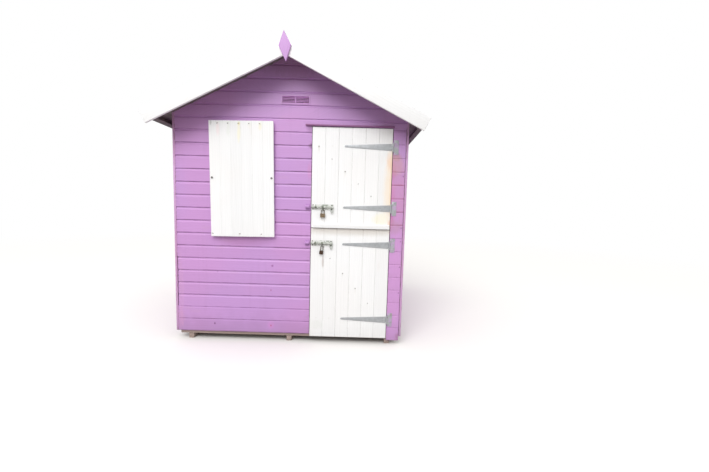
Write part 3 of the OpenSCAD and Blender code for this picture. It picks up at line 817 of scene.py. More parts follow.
@dataclass(frozen=True)
class Metal(Finish):
    """Zinc, iron or brass, with its own bloom, rust and overpainting."""

    metallic: float = 0.75
    rough: float = 0.5
    spangle: float = 70.0
    rust: float = 0.15
    rust_scale: float = 45.0
    paint: Rgb = (190, 150, 200)
    painted: float = 0.0
    paint_scale: float = 38.0

    def feeds(self, position: Wire) -> dict[str, object]:
        """What the shader of the metal gets.

        Args:
            position: The point.

        Returns:
            Values by input name.
        """
        flake = position.texture("Voronoi", "Color", Scale=self.spangle).parts()[0]
        rust = rust_bloom(position, scale=self.rust_scale)
        rusty = rust["Bloom"].band(0.74 - 0.4 * self.rust, 0.86 - 0.3 * self.rust)
        colour = (flake * 0.35 + position.noise(24.0, 4.0) * 0.75).blend(self.colour, self.drift)
        patches = position.noise(self.paint_scale, 4.0)
        cover = patches.band(0.80 - 0.62 * self.painted, 0.86 - 0.60 * self.painted)
        return {
            "Base Color": cover.blend(rusty.blend(colour, rust["Colour"]), self.paint),
            "Metallic": rusty.most(cover) * -self.metallic + self.metallic,
            "Roughness": (flake * 0.12 + (self.rough - 0.06)).most(rusty * 0.85),
            "Normal": (cover * 0.8 + rust["Height"] * 0.5).bump(0.0002),
        }


@dataclass(frozen=True)
class Felt(Finish):
    """Mineral roofing felt: grit in bitumen, bleached by the sun."""

    def feeds(self, position: Wire) -> dict[str, object]:
        """What the shader of the felt gets.

        Args:
            position: The point.

        Returns:
            Values by input name.
        """
        grit, cloud = position.noise(900.0, 2.0), position.noise(4.0, 4.0)
        runs = (position * (3.0, 24.0, 3.0)).noise()
        colour = (grit * 0.7 + cloud * 0.3).band(0.3, 0.7).blend(self.colour, self.drift)
        return {
            "Base Color": (runs.band(0.5, 0.75) * 0.3).blend(colour, (118, 116, 100)),
            "Roughness": 0.92,
            "Specular IOR Level": 0.3,
            "Normal": (grit * 0.6 + cloud * 1.5).bump(0.0008),
        }


@dataclass(frozen=True)
class Glazing(Finish):
    """Old window glass with a film of dust."""

    def feeds(self, position: Wire) -> dict[str, object]:
        """What the shader of the glass gets."""
        dust = position.noise(14.0, 5.0).spread(0.02, 0.22)
        return {"Base Color": self.colour, "Roughness": dust, "Transmission Weight": 1.0, "IOR": 1.5}


FRAME_TIMBER = Timber("sawn_softwood", Slot.FRAME_TIMBER, (206, 168, 118), (158, 116, 74))
INSIDE_BOARDS = Timber("bare_board_backs", Slot.FRAME_TIMBER, (212, 176, 128), (172, 130, 88), age=0.2)
FLOOR_TIMBER = Timber("worn_floor_boards", Slot.FLOOR_TIMBER, (188, 152, 108), (140, 102, 68), age=0.35)
GROUND_TIMBER = Timber(
    "weathered_joists", Slot.WEATHERED, (198, 172, 162), (156, 132, 122), (176, 158, 150), age=0.7, rough=0.85
)

TRIM_PAINT = Paint("mauve_corner", Slot.MAUVE, (208, 164, 208), (206, 156, 200), wear=0.002)
# The drip strip is the wall's mauve; its darker colour is painted shade, for the shade that falls on it under
# the roof.
SHADED_DRIP_PAINT = Paint("mauve_drip", Slot.MAUVE, (152, 98, 148), (142, 88, 134), wear=0.001)
# Dark paint on the gable frames' front faces: painted shade that darkens the gaps round the door leaves.
SHADE_STOP_PAINT = Paint("dirty_door_stop", Slot.FRAME_TIMBER, (92, 70, 88), (80, 62, 74), wear=0.002, splash=0.0)
ROOF_PAINT = Paint(
    "roof_mauve", Slot.ROOF_TIMBER, (122, 113, 112), (110, 99, 99), gloss=0.55, wear=0.001, splash=0.0
)
WHITE_PAINT = Paint(
    "white_gloss", Slot.WHITE, (248, 248, 248), (247, 246, 245), wood=(156, 150, 142),
    dirt=(184, 182, 178), gloss=0.36, wear=0.0007, grime=0.06, splash=0.12,
)
PINK_PAINT = Paint(
    "pink_gloss", Slot.PINK, (199, 151, 213), (194, 144, 205), dirt=(150, 110, 130), gloss=0.4,
    grime=0.12, splash=0.0,
)
VENT_PAINT = Paint(
    "painted_vent", Slot.VENT, (208, 162, 217), (204, 156, 212), gloss=0.55, wear=0.0, splash=0.0
)
# A paler copy of the vent's paint for its slats: painted light against the shade between the louvres.
LIGHTENED_SLAT_PAINT = replace(
    VENT_PAINT, name="painted_slats", colour=(226, 172, 230), drift=(220, 166, 226), gloss=0.6
)

ZINC = Metal("dull_zinc", Slot.ZINC, (184, 186, 190), (158, 161, 162), rust=0.1)
PLATE_ZINC = replace(ZINC, name="overpainted_zinc", paint=(186, 168, 194), painted=0.5, paint_scale=22.0)
BOLT_ZINC = Metal(
    "worn_zinc", Slot.ZINC, (146, 150, 138), (96, 102, 90), 0.5, rust=0.14, paint=(220, 220, 212),
    painted=0.3,
)
BOLT_PLATE = Metal(
    "white_painted_plate", Slot.ZINC, (186, 191, 182), (156, 162, 150), 0.4, rust=0.14,
    paint=(230, 231, 227), painted=0.6,
)
BOLT_BAR = Metal(
    "pale_bolt_bar", Slot.ZINC, (196, 199, 192), (160, 165, 156), 0.5, rust=0.12,
    paint=(230, 230, 226), painted=0.4,
)
KEEPER_STEEL = Metal(
    "mauve_steel", Slot.PAINTED_STEEL, (120, 92, 120), (96, 70, 92), 0.3, 0.8, rust=0.1,
    paint=(192, 145, 202), painted=0.95,
)
BRASS = Metal("tarnished_brass", Slot.BRASS, (144, 124, 100), (98, 82, 64), 0.55, 0.5, 60.0, 0.12)
SHACKLE_BRASS = Metal("dark_shackle_brass", Slot.BRASS, (100, 84, 62), (70, 56, 42), 0.5, 0.5, 24.0, 0.15)
DARK_BRASS = Metal("blackened_brass", Slot.BRASS, (84, 64, 50), (52, 38, 30), 0.6, 0.55, 24.0, 0.35)
SHACKLE_STEEL = Metal("shackle_steel", Slot.BRASS, (128, 126, 112), (92, 88, 76), 0.5, 0.45, 10.0, 0.25)
IRON = Metal("rusted_iron", Slot.IRON, (62, 54, 50), (44, 38, 36), 0.4, 0.7, 160.0, 0.5, 300.0)
GREY_IRON = Metal("dull_bolt_iron", Slot.IRON, (148, 146, 143), (118, 115, 112), 0.4, 0.7, 160.0, 0.3, 300.0)
GREY_NAILS = Metal("weathered_nails", Slot.IRON, (134, 132, 126), (100, 97, 92), 0.4, 0.6, 160.0, 0.3, 300.0)
WHITE_NAILS = Metal(
    "white_painted_nails", Slot.IRON, (120, 110, 104), (90, 80, 74), rust=0.3,
    paint=(236, 235, 232), painted=0.92,
)
MAUVE_NAILS = Metal(
    "mauve_painted_nails", Slot.IRON, (110, 84, 100), (84, 62, 72), rust=0.3,
    paint=(198, 150, 208), painted=0.93,
)

FELT = Felt("mineral_felt", Slot.FELT, (54, 60, 55), (98, 106, 96))
GLASS = Glazing("dusty_glass", Slot.GLASS, (226, 234, 234))


def piece(name: str, mesh: bpy.types.Mesh) -> Obj:
    """Makes an object of a mesh and puts it in the scene.

    Args:
        name: Name of the object and its mesh.
        mesh: The mesh.

    Returns:
        The object.
    """
    mesh.name = name
    made = bpy.data.objects.new(name, mesh)
    bpy.context.scene.collection.objects.link(made)
    return made


def used_up(made: Obj) -> None:
    """Removes an object and its mesh.

    Args:
        made: The object.
    """
    mesh = made.data
    bpy.data.objects.remove(made)
    bpy.data.meshes.remove(mesh)


def from_bmesh(name: str, shape: bmesh.types.BMesh) -> Obj:
    """Turns a bmesh into an object and frees it.

    Args:
        name: Name of the object and its mesh.
        shape: The bmesh.

    Returns:
        The object.
    """
    mesh = bpy.data.meshes.new(name)
    shape.to_mesh(mesh)
    shape.free()
    return piece(name, mesh)


def smooth(made: Obj, degrees: float = 35.0) -> Obj:
    """Shades an object smooth, apart from its sharp edges.

    Args:
        made: The object.
        degrees: Angle from which an edge is sharp.

    Returns:
        The same object.
    """
    made.data.shade_smooth()
    made.data.set_sharp_from_angle(angle=math.radians(degrees))
    return made


def swept(section: Sequence[Pair], length: float, stations: int, place: Matrix) -> Obj:
    """Sweeps a closed section along a straight line.

    Args:
        section: Outline as (depth, width) points.
        length: Length of the sweep.
        stations: Number of equal lengths that it is divided into.
        place: Takes (along, depth, width) to the hut's frame.

    Returns:
        The swept object.
    """
    shape = bmesh.new()
    rings = []
    for index in range(stations + 1):
        along = length * index / stations
        rings.append([shape.verts.new(place @ Vector((along, d, w))) for d, w in section])
    for before, after in zip(rings, rings[1:]):
        for k in range(len(section)):
            shape.faces.new((before[k - 1], before[k], after[k], after[k - 1]))
    shape.faces.new(rings[0])
    shape.faces.new(reversed(rings[-1]))
    bmesh.ops.recalc_face_normals(shape, faces=shape.faces)
    return from_bmesh("sweep", shape)


def rectangle(x0: float, x1: float, z0: float, z1: float) -> list[Pair]:
    """Outline of a rectangle in X and Z."""
    return [(x0, z0), (x1, z0), (x1, z1), (x0, z1)]


def prism(outline: Sequence[Pair], y0: float, y1: float) -> Obj:
    """Makes a cutter: an outline in X and Z between two places along Y."""
    upright = Matrix(((0, 1, 0, 0), (1, 0, 0, y0), (0, 0, 1, 0), (0, 0, 0, 1)))
    return swept(outline, y1 - y0, 1, upright)


def lathed(outline: Sequence[Pair], sides: int) -> Obj:
    """Turns an outline about Z.

    Args:
        outline: Points as (radius, height), from the top's middle to the bottom's.
        sides: Number of sides.

    Returns:
        The turned object.
    """
    shape = bmesh.new()
    top, bottom = (shape.verts.new((0, 0, outline[end][1])) for end in (0, -1))
    turns = [2 * math.pi * k / sides for k in range(sides)]
    rings = [
        [shape.verts.new((radius * math.cos(t), radius * math.sin(t), height)) for t in turns]
        for radius, height in outline[1:-1]
    ]
    for k in range(sides):
        shape.faces.new((top, rings[0][k - 1], rings[0][k]))
        shape.faces.new((bottom, rings[-1][k], rings[-1][k - 1]))
        for upper, lower in zip(rings, rings[1:]):
            shape.faces.new((upper[k - 1], lower[k - 1], lower[k], upper[k]))
    bmesh.ops.recalc_face_normals(shape, faces=shape.faces)
    return from_bmesh("head", shape)


def settled(made: Obj, name: str) -> Obj:
    """Turns an object with modifiers into a plain one with the same materials.

    Args:
        made: The object.
        name: Its new name.

    Returns:
        The object, with a new mesh.
    """
    graph = bpy.context.evaluated_depsgraph_get()
    graph.update()
    mesh = bpy.data.meshes.new_from_object(made.evaluated_get(graph))
    old = made.data
    made.modifiers.clear()
    made.data = mesh
    made.name = mesh.name = name
    if old.users == 0:
        bpy.data.meshes.remove(old)
    return made


def carved(made: Obj, cutter: Obj, cut: Cut) -> None:
    """Cuts an object with another one, which is used up.

    Args:
        made: The object.
        cutter: The other one.
        cut: What the cut leaves of the object.
    """
    modifier = made.modifiers.new("cut", "BOOLEAN")
    modifier.operation = cut.value
    modifier.solver = "MANIFOLD"
    modifier.object = cutter
    settled(made, made.name)
    used_up(cutter)


def mirrored(made: Obj) -> None:
    """Adds the mesh's mirror image on the other side of the hut.

    Args:
        made: The object.
    """
    shape = bmesh.new()
    shape.from_mesh(made.data)
    twin = bmesh.ops.duplicate(shape, geom=shape.verts[:] + shape.edges[:] + shape.faces[:])["geom"]
    bmesh.ops.scale(shape, vec=(-1, 1, 1), verts=[g for g in twin if isinstance(g, bmesh.types.BMVert)])
    bmesh.ops.reverse_faces(shape, faces=[g for g in twin if isinstance(g, bmesh.types.BMFace)])
    shape.to_mesh(made.data)
    shape.free()


def joined(name: str, parts: Sequence[Obj]) -> Obj:
    """Joins objects into one.

    Args:
        name: The new name.
        parts: The objects, which are used up.

    Returns:
        The one object.
    """
    shape = bmesh.new()
    for part in parts:
        shape.from_mesh(part.data)
        used_up(part)
    return from_bmesh(name, shape)


def islands(mesh: bpy.types.Mesh) -> tuple[np.ndarray, np.ndarray]:
    """Finds the separate solids of a mesh.

    Args:
        mesh: The mesh.

    Returns:
        The edges as pairs of points, and for each point the number of its solid's first point.
    """
    edges = np.empty(len(mesh.edges) * 2, np.int32)
    mesh.edges.foreach_get("vertices", edges)
    edges = edges.reshape(-1, 2)
    label = np.arange(len(mesh.vertices))
    while True:
        low = np.minimum(label[edges[:, 0]], label[edges[:, 1]])
        lower = label.copy()
        np.minimum.at(lower, edges[:, 0], low)
        np.minimum.at(lower, edges[:, 1], low)
        lower = lower[lower]
        if (lower == label).all():
            return edges, label
        label = lower


def tag_boards(made: Obj, seed: int) -> None:
    """Stores each board's own frame on its points, for the grain, the edges and the tone.

    Args:
        made: An object whose separate solids are boards.
        seed: Seed of the boards' tones.
    """
    mesh = made.data
    edges, label = islands(mesh)
    count = len(mesh.vertices)
    points = np.empty(count * 3, np.float32)
    mesh.vertices.foreach_get("co", points)
    points = points.reshape(-1, 3).astype(float)
    normals = np.empty(len(mesh.polygons) * 3, np.float32)
    areas = np.empty(len(mesh.polygons), np.float32)
    mesh.polygons.foreach_get("normal", normals)
    mesh.polygons.foreach_get("area", areas)
    normals = normals.reshape(-1, 3).astype(float)
    first = np.array([polygon.vertices[0] for polygon in mesh.polygons])
    grain, half, tone = np.zeros((count, 3)), np.ones((count, 3)), np.zeros(count)
    draws = np.random.default_rng(seed)
    for root in np.unique(label):
        mine = label == root
        spans = points[edges[mine[edges[:, 0]]]]
        spans = spans[:, 1] - spans[:, 0]
        along = spans[np.argmax((spans**2).sum(1))]
        along = along / np.linalg.norm(along)
        faces = mine[first]
        thick = normals[faces][np.argmax(areas[faces])]
        thick = thick - along * thick.dot(along)
        thick = thick / np.linalg.norm(thick)
        local = points[mine] @ np.stack([along, np.cross(thick, along), thick]).T
        low, high = local.min(0), local.max(0)
        grain[mine] = local - (low + high) / 2
        half[mine] = (high - low) / 2
        tone[mine] = draws.random()
    for name, kind, values in (
        ("grain", "FLOAT_VECTOR", grain), ("half", "FLOAT_VECTOR", half), ("tone", "FLOAT", tone)
    ):
        layer = mesh.attributes.get(name) or mesh.attributes.new(name, kind, "POINT")
        field = "vector" if kind == "FLOAT_VECTOR" else "value"
        layer.data.foreach_set(field, values.astype(np.float32).ravel())


def deliver(
    made: Obj, finish: Finish, *nodes: str, body: Body = Body.HUT, other: Finish | None = None,
    where: Callable[[bpy.types.MeshPolygon], bool] | None = None,
) -> None:
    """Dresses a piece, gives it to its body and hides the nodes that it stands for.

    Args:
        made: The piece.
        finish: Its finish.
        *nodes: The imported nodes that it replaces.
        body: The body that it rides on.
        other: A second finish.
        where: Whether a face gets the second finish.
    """
    made.data.materials.clear()
    for each in filter(None, (finish, other)):
        made.data.materials.append(each.material())
    for face in made.data.polygons if where else ():
        face.material_index = int(where(face))
    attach(made, body.value)
    if nodes:
        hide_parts(*nodes)
    log.info("%s rides on %s, %d faces", made.name, body.value, len(made.data.polygons))


def worked(
    node: str, name: str, finish: Finish, ease: float, seed: int | None = None, segments: int = 2,
    **rest: object,
) -> None:
    """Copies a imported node, eases its sharp edges and delivers it.

    Args:
        node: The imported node.
        name: The new piece's name.
        finish: The piece's finish.
        ease: Width of the eased edges in millimetres.
        seed: Seed of the boards' tones, where the piece is of boards.
        segments: Number of faces across an eased edge.
        **rest: The body, or the second finish and its faces, as for deliver.
    """
    shape = bmesh.new()
    shape.from_mesh(bpy.data.objects[node].data)
    bmesh.ops.remove_doubles(shape, verts=shape.verts, dist=MERGE_DISTANCE)
    bmesh.ops.dissolve_limit(
        shape, angle_limit=FLAT_ANGLE, verts=shape.verts, edges=shape.edges, delimit={"NORMAL"}
    )
    sharp = [e for e in shape.edges if e.is_manifold and e.calc_face_angle(0.0) > SHARP_ANGLE]
    bmesh.ops.bevel(
        shape, geom=sharp, offset=ease * MM, segments=segments, profile=0.6, affect="EDGES",
        clamp_overlap=False,
    )
    made = smooth(from_bmesh(name, shape))
    if seed is not None:
        tag_boards(made, seed)
    deliver(made, finish, node, **rest)


def repeat_tree(label: str, **inputs: str) -> tuple[bpy.types.NodeTree, Outputs]:
    """Starts a geometry node tree.

    Args:
        label: The tree's name.
        **inputs: Socket type by input name.

    Returns:
        The tree and its inputs by name.
    """
    tree = bpy.data.node_groups.new(label, "GeometryNodeTree")
    for name, kind in {"Geometry": "Geometry", **inputs}.items():
        tree.interface.new_socket(name, in_out="INPUT", socket_type=f"NodeSocket{kind}")
    tree.interface.new_socket("Geometry", in_out="OUTPUT", socket_type="NodeSocketGeometry")
    return tree, {socket.name: Wire(socket) for socket in add(tree, "NodeGroupInput").outputs}


def end_tree(tree: bpy.types.NodeTree, geometry: bpy.types.Node, finish: Wire) -> bpy.types.NodeTree:
    """Ends a tree in Set Material.

    Args:
        tree: The tree.
        geometry: The node that gives its geometry.
        finish: The material.

    Returns:
        The tree.
    """
    made = add(tree, "GeometryNodeSetMaterial", {"Geometry": geometry, "Material": finish})
    add(tree, "NodeGroupOutput", {0: made})
    return tree


@cache
def courses() -> bpy.types.NodeTree:
    """Makes the tree that repeats one board in even steps, with a little play in how each is laid.

    Returns:
        The tree.
    """
    tree, given = repeat_tree(
        "Courses of boards", Board="Object", Count="Int", Step="Vector", Play="Vector", Waver="Vector",
        Seed="Int", Finish="Material",
    )
    run = {"Count": given["Count"], "Offset": given["Step"]}
    line = add(tree, "GeometryNodeMeshLine", run, mode="OFFSET")
    board = add(tree, "GeometryNodeObjectInfo", {"Object": given["Board"]}).outputs["Geometry"]
    laid_out = add(tree, "GeometryNodeInstanceOnPoints", {"Points": line, "Instance": board})
    ends = {0: given["Play"] * (-1, -1, -1), 1: given["Play"], "Seed": given["Seed"]}
    play = add(tree, "FunctionNodeRandomValue", ends, data_type="FLOAT_VECTOR")
    moved = add(tree, "GeometryNodeTranslateInstances", {"Instances": laid_out, "Translation": play})
    real = add(tree, "GeometryNodeRealizeInstances", {"Geometry": moved})
    place = add(tree, "GeometryNodeInputPosition")
    feeds = {"Vector": place, "W": given["Seed"], "Scale": 2.3, "Detail": 1.0}
    wave = add(tree, "ShaderNodeTexNoise", feeds, noise_dimensions="4D")
    swing = (Wire(wave.outputs["Color"]) - (0.5, 0.5, 0.5)) * given["Waver"]
    bent = add(tree, "GeometryNodeSetPosition", {"Geometry": real, "Offset": swing})
    return end_tree(tree, bent, given["Finish"])


@cache
def fixings() -> bpy.types.NodeTree:
    """Makes the tree that puts one head on each point, facing as the point's attribute says.

    Returns:
        The tree.
    """
    tree, given = repeat_tree("Fixings", Fixing="Object", Seed="Int", Finish="Material")
    head = add(tree, "GeometryNodeObjectInfo", {"Object": given["Fixing"]}).outputs["Geometry"]
    facing = add(tree, "GeometryNodeInputNamedAttribute", {"Name": "facing"}, data_type="FLOAT_VECTOR")
    turned = add(tree, "FunctionNodeAlignRotationToVector", {"Vector": facing}, axis="Z")
    turns = {2: 0.0, 3: math.tau, "Seed": given["Seed"]}
    spin = add(tree, "FunctionNodeRandomValue", turns, data_type="FLOAT").outputs[1]
    local = add(tree, "FunctionNodeAxisAngleToRotation", {"Axis": (0.0, 0.0, 1.0), "Angle": spin})
    both = {"Rotation": turned, "Rotate By": local}
    spun = add(tree, "FunctionNodeRotateRotation", both, rotation_space="LOCAL")
    feeds = {"Points": given["Geometry"], "Instance": head, "Rotation": spun}
    laid_out = add(tree, "GeometryNodeInstanceOnPoints", feeds)
    real = add(tree, "GeometryNodeRealizeInstances", {"Geometry": laid_out})
    return end_tree(tree, real, given["Finish"])


def run_tree(name: str, tree: bpy.types.NodeTree, mesh: bpy.types.Mesh, feeds: dict[str, object]) -> Obj:
    """Runs a tree on a mesh and turns the result into a plain object.

    Args:
        name: The new object's name.
        tree: The geometry node tree.
        mesh: The mesh that the tree starts from.
        feeds: Values by input name. An object among them is used up.

    Returns:
        The finished object.
    """
    made = piece(name, mesh)
    modifier = made.modifiers.new("repeat", "NODES")
    modifier.node_group = tree
    for item in tree.interface.items_tree:
        if item.in_out == "INPUT" and item.name in feeds:
            modifier[item.identifier] = feeds[item.name]
    made = settled(made, name)
    for value in feeds.values():
        if isinstance(value, bpy.types.Object):
            used_up(value)
    return made


def laid(
    name: str, board: Obj, count: int, step: Vector, finish: Finish, seed: int = 1,
    play: Triple = (0.0003, 0.0003, 0.0003), waver: Triple = ORIGIN,
) -> Obj:
    """Lays one board several times.

    Args:
        name: The new object's name.
        board: The first board, which is used up.
        count: Number of boards.
        step: From each board to the next.
        finish: The boards' finish.
        seed: Seed of the play.
        play: How far each may lie from its even place.
        waver: How far a long board wanders along its length.

    Returns:
        The boards as one object.
    """
    feeds = {
        "Board": board, "Count": count, "Step": tuple(step), "Play": tuple(play), "Waver": tuple(waver),
        "Seed": seed, "Finish": finish.material(),
    }
    return run_tree(name, courses(), bpy.data.meshes.new(name), feeds)


def fixed(
    name: str, head: Obj, places: Iterable[Sequence[float]], finish: Finish, seed: int, body: Body = Body.HUT,
    facing: Vector | Sequence[Vector] = FRONT,
) -> None:
    """Puts a nail, screw or bolt head at each place and delivers them as one piece.

    Args:
        name: The new piece's name.
        head: The head, standing on the origin along Z, which is used up.
        places: Where the heads sit.
        finish: The heads' finish.
        seed: Seed of the heads' turns.
        body: The body that they ride on.
        facing: The way that they face, one for all or one for each.
    """
    points = [tuple(place) for place in places]
    ways = [facing] * len(points) if isinstance(facing, Vector) else facing
    mesh = bpy.data.meshes.new(name)
    mesh.from_pydata(points, [], [])
    layer = mesh.attributes.new("facing", "FLOAT_VECTOR", "POINT")
    layer.data.foreach_set("vector", [part for way in ways for part in way])
    made = run_tree(name, fixings(), mesh, {"Fixing": head, "Seed": seed, "Finish": finish.material()})
    deliver(smooth(made, 50.0), finish, body=body)


def dome(steps: int, foot: float) -> list[Pair]:
    """Outline of a quarter round over a foot, as shares of its radius and its height."""
    turns = [k / steps * math.pi / 2 for k in range(1, steps + 1)]
    return [(math.sin(turn), foot + (1 - foot) * math.cos(turn)) for turn in turns]


class Head(Enum):
    """Heads of fixings: number of sides, and outline as shares of the radius and the height."""

    NAIL = 10, ((0, 1), (0.55, 0.95), (0.92, 0.5), (1, -1), (0, -1))
    CLOUT = 12, ((0, 1), (0.85, 0.9), (1, 0.3), (1, -1), (0, -1))
    SCREW = 16, ((0, 1), *dome(4, 0.0), (1, -0.4), (0, -0.4))
    BOLT = 20, ((0, 1), *dome(5, 0.25), (1.25, 0.22), (1.25, 0), (0, 0))

    def made(self, radius: float, rise: float) -> Obj:
        """Makes the head, standing on the origin along Z. A screw's has a cross recess.

        Args:
            radius: Radius in millimetres.
            rise: Height in millimetres.

        Returns:
            The head.
        """
        radius, rise = radius * MM, rise * MM
        sides, outline = self.value
        made = lathed([(radius * share, rise * height) for share, height in outline], sides)
        reach, half, floor = radius * 0.6, radius * 0.13, rise * 0.35
        for a, b in ((reach, half), (half, reach)) if self is Head.SCREW else ():
            carved(made, prism(rectangle(-a, a, floor, rise * 2), -b, b), Cut.OUTSIDE)
        return made


@dataclass
class Cladding:
    """Horizontal shiplap on all four walls, with its nails and corner trims."""

    places: Places
    cover: float = 112.5 * MM
    strip_cover: float = 117 * MM
    cove_depth: float = 6.5 * MM
    cove_radius: float = 32 * MM
    shallow_depth: float = 2 * MM
    shallow_rows: int = 2
    thickness: float = 15 * MM
    lap: float = 9 * MM
    arris: float = 1.2 * MM
    play: float = 0.3 * MM
    station: float = 0.16
    vent_rim: float = 7.5 * MM
    trim_gap: float = 4 * MM
    stud_half: float = 19 * MM
    stud_pitch: float = 496 * MM
    stud_rows: int = 5
    short_ends: Pair = (0.31, 0.765)
    gable_row: int = 17
    gable_nails: tuple[float, ...] = (-0.9, -0.49, 0.0, 0.49, 0.9)
    gable_peak: float = 2.44
    nail: Pair = (3.2, 0.7)
    outline_reach: Pair = (10 * MM, 30 * MM)
    hole_reach: Pair = (20 * MM, 40 * MM)

    def section(self, cover: float, depth: float) -> list[Pair]:
        """Gives the outline of one board.

        Args:
            cover: Height from each board's lower edge to the next one's.
            depth: Depth of the hollow along its top edge.

        Returns:
            Points as depth behind the face and height above the board's lower edge.
        """
        sweep = math.acos(1 - depth / self.cove_radius)
        foot = cover - self.play
        cove = [
            (depth - self.cove_radius * (1 - math.cos(turn)), foot - self.cove_radius * math.sin(turn))
            for turn in (sweep * k / 5 for k in range(5, -1, -1))
        ]
        tongue, rebate = self.cove_depth, self.cove_depth - self.play
        hold = 1 * MM
        return [
            (self.arris, 0), (self.arris * 0.3, self.arris * 0.3), (0, self.arris), (0, self.arris + hold),
            (0, cove[0][1] - hold), *cove,
            (tongue, foot), (tongue, cover + self.lap), (self.thickness, cover + self.lap),
            (self.thickness, self.lap + 2 * self.play), (rebate, self.lap + 2 * self.play), (rebate, 0),
        ]

    def wall(
        self, name: str, nodes: Sequence[str], place: Matrix, length: float, top: float, paint: Paint,
        seeds: tuple[int, int], cuts: Sequence[tuple], shallow: int = 0,
    ) -> None:
        """Lays one wall's boards, cuts them to its outline and delivers them.

        Args:
            name: The piece's name.
            nodes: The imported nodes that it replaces.
            place: Takes (along, depth, up) to the hut's frame.
            length: The wall's length.
            top: Height that the boards have to reach.
            paint: The outside finish, whose nails follow the boards.
            seeds: Seeds of the boards' play and of their tones.
            cuts: Outline, two places along Y and kind of each cut.
            shallow: Number of boards from the foot whose hollow is shallow.
        """
        base, cover = paint.nails.base, paint.nails.cover
        rows = math.ceil((top - base) / cover)
        turn = place.to_3x3()
        play, waver = turn @ Vector((0, 0.2 * MM, 0.5 * MM)), turn @ Vector((0, 1.2 * MM, 0.9 * MM))
        runs = (0, min(shallow, rows), self.shallow_depth), (shallow, rows - shallow, self.cove_depth)
        parts = []
        for first, count, depth in runs:
            if count > 0:
                lift = Matrix.Translation((0, 0, base + first * cover))
                board = swept(self.section(cover, depth), length, round(length / self.station), place @ lift)
                step, seed = Vector((0, 0, cover)), seeds[0] + first
                parts.append(laid(f"{name}_{first}", board, count, step, paint, seed, play, waver))
        made = joined(name, parts)
        for outline, start, end, cut in cuts:
            carved(made, prism(outline, start, end), cut)
        tag_boards(smooth(made, 30.0), seeds[1])
        inward = turn @ Vector((0, 1, 0))
        limit = inward.dot(place.translation) + 0.8 * self.thickness

        def is_back(face: bpy.types.MeshPolygon) -> bool:
            """Whether a face is on a board's back, which is bare."""
            return face.normal.dot(inward) > 0.5 and face.center.dot(inward) > limit

        deliver(made, paint, *nodes, other=INSIDE_BOARDS, where=is_back)

    def gable_outline(self) -> list[Pair]:
        """Gives the end wall's outline.

        Returns:
            Points in X and Z.
        """
        side, base, peak = self.places.side, self.places.base, Box.of("back_wall").hi.z
        eaves = peak - side * math.tan(ROOF_PITCH)
        return [(-side, base), (side, base), (side, eaves), (0, peak), (-side, eaves)]

    def paint(
        self, name: str, nails: ShiplapNails, colour_patches: tuple[ColourPatch, ...] = (), top: float = 1.75,
        red: Pair = (-1.0, -1.0),
    ) -> Paint:
        """Gives the mauve paint of one wall, with painted shadow lines at its laps.

        Args:
            name: The material's name.
            nails: The wall's nails, whose rows follow its boards.
            colour_patches: Coloured patches.
            top: Height where the painted shadow lines between the boards start to fade.
            red: Heights between which those lines are reddened.

        Returns:
            The finish.
        """
        return Paint(
            name, Slot.MAUVE, nails=nails, grime=0.05, bleed=0.25, bleed_size=5 * MM, halo=(140, 96, 146),
            run=(196, 146, 198), laps=LapShadowAndRustLines(nails.base, nails.cover, top, red), colour_patches=colour_patches,
            face=self.places.front,
        )

    def build(self) -> None:
        """Builds the four walls, their nails and the trims."""
        self.front()
        self.back()
        self.sides()
        worked("corner_trims", "planed_corner_trims", TRIM_PAINT, 1.5, 51)
        worked("door_drip_strip", "planed_drip_strip", SHADED_DRIP_PAINT, 1.2, 52)

    def front(self) -> None:
        """Front wall: the boards left of the door and over it, and the strip beside the hinges."""
        p = self.places
        left, right = Box.of("front_wall_left"), Box.of("front_wall_right")
        frame, vent, shutter = Box.of("window_frame"), Box.of("gable_vent"), Box.of("shutter_boards")
        edge, door_top, rim = left.hi.x, left.hi.z, self.vent_rim
        columns = (-p.side + 2 * self.stud_half, frame.lo.x - self.stud_half, frame.hi.x + self.stud_half,
                   edge - 0.7 * self.stud_half)
        nails = ShiplapNails(0, columns, p.base, self.cover)
        colour_patches = (
            ColourPatch(-0.985, 0.19, 0.05, 0.12, (212, 152, 190), 0.3),
            ColourPatch(-0.975, 0.45, 0.03, 0.45, (220, 166, 205), 0.2),
            ColourPatch(-0.162, 0.150, 0.040, 0.045, (220, 142, 212), 0.35, 0.3),
            ColourPatch(-0.162, 0.146, 0.008, 0.012, (190, 84, 116), 0.9, 0.3),
            ColourPatch(-0.6745, 0.151, 0.010, 0.014, (110, 64, 110), 0.85, 0.3),
            ColourPatch(-0.152, 0.699, 0.014, 0.016, (150, 90, 150), 0.7, 0.3),
            ColourPatch(-0.164, 0.475, 0.011, 0.012, (170, 100, 150), 0.6, 0.3),
            ColourPatch(-0.647, 0.635, 0.014, 0.014, (170, 120, 176), 0.5, 0.3),
            ColourPatch(0.172, 1.55, 0.03, 0.10, (215, 140, 195), 0.35, 0.4),
            # Painted shadow: a darker patch on the wall under the shutter, where the shutter's shadow falls.
            ColourPatch(shutter.mid.x, shutter.lo.z, 0.36, 0.12, (168, 113, 160), 0.46, 0.1),
            # Painted shade: the next two dark patches sit on the wall beside the top of the doorway's left
            # edge, by the end of the drip strip.
            ColourPatch(edge, 1.91, 0.06, 0.045, (140, 98, 140), 0.5, 0.1),
            ColourPatch(edge, 1.765, 0.04, 0.03, (130, 86, 130), 0.7, 0.2),
            # Painted shade: a darker, browner patch at the gable's top, under the roof's overhang.
            ColourPatch(0.0, 2.48, 0.5, 0.2, (120, 84, 96), 0.3, 0.2),
        )
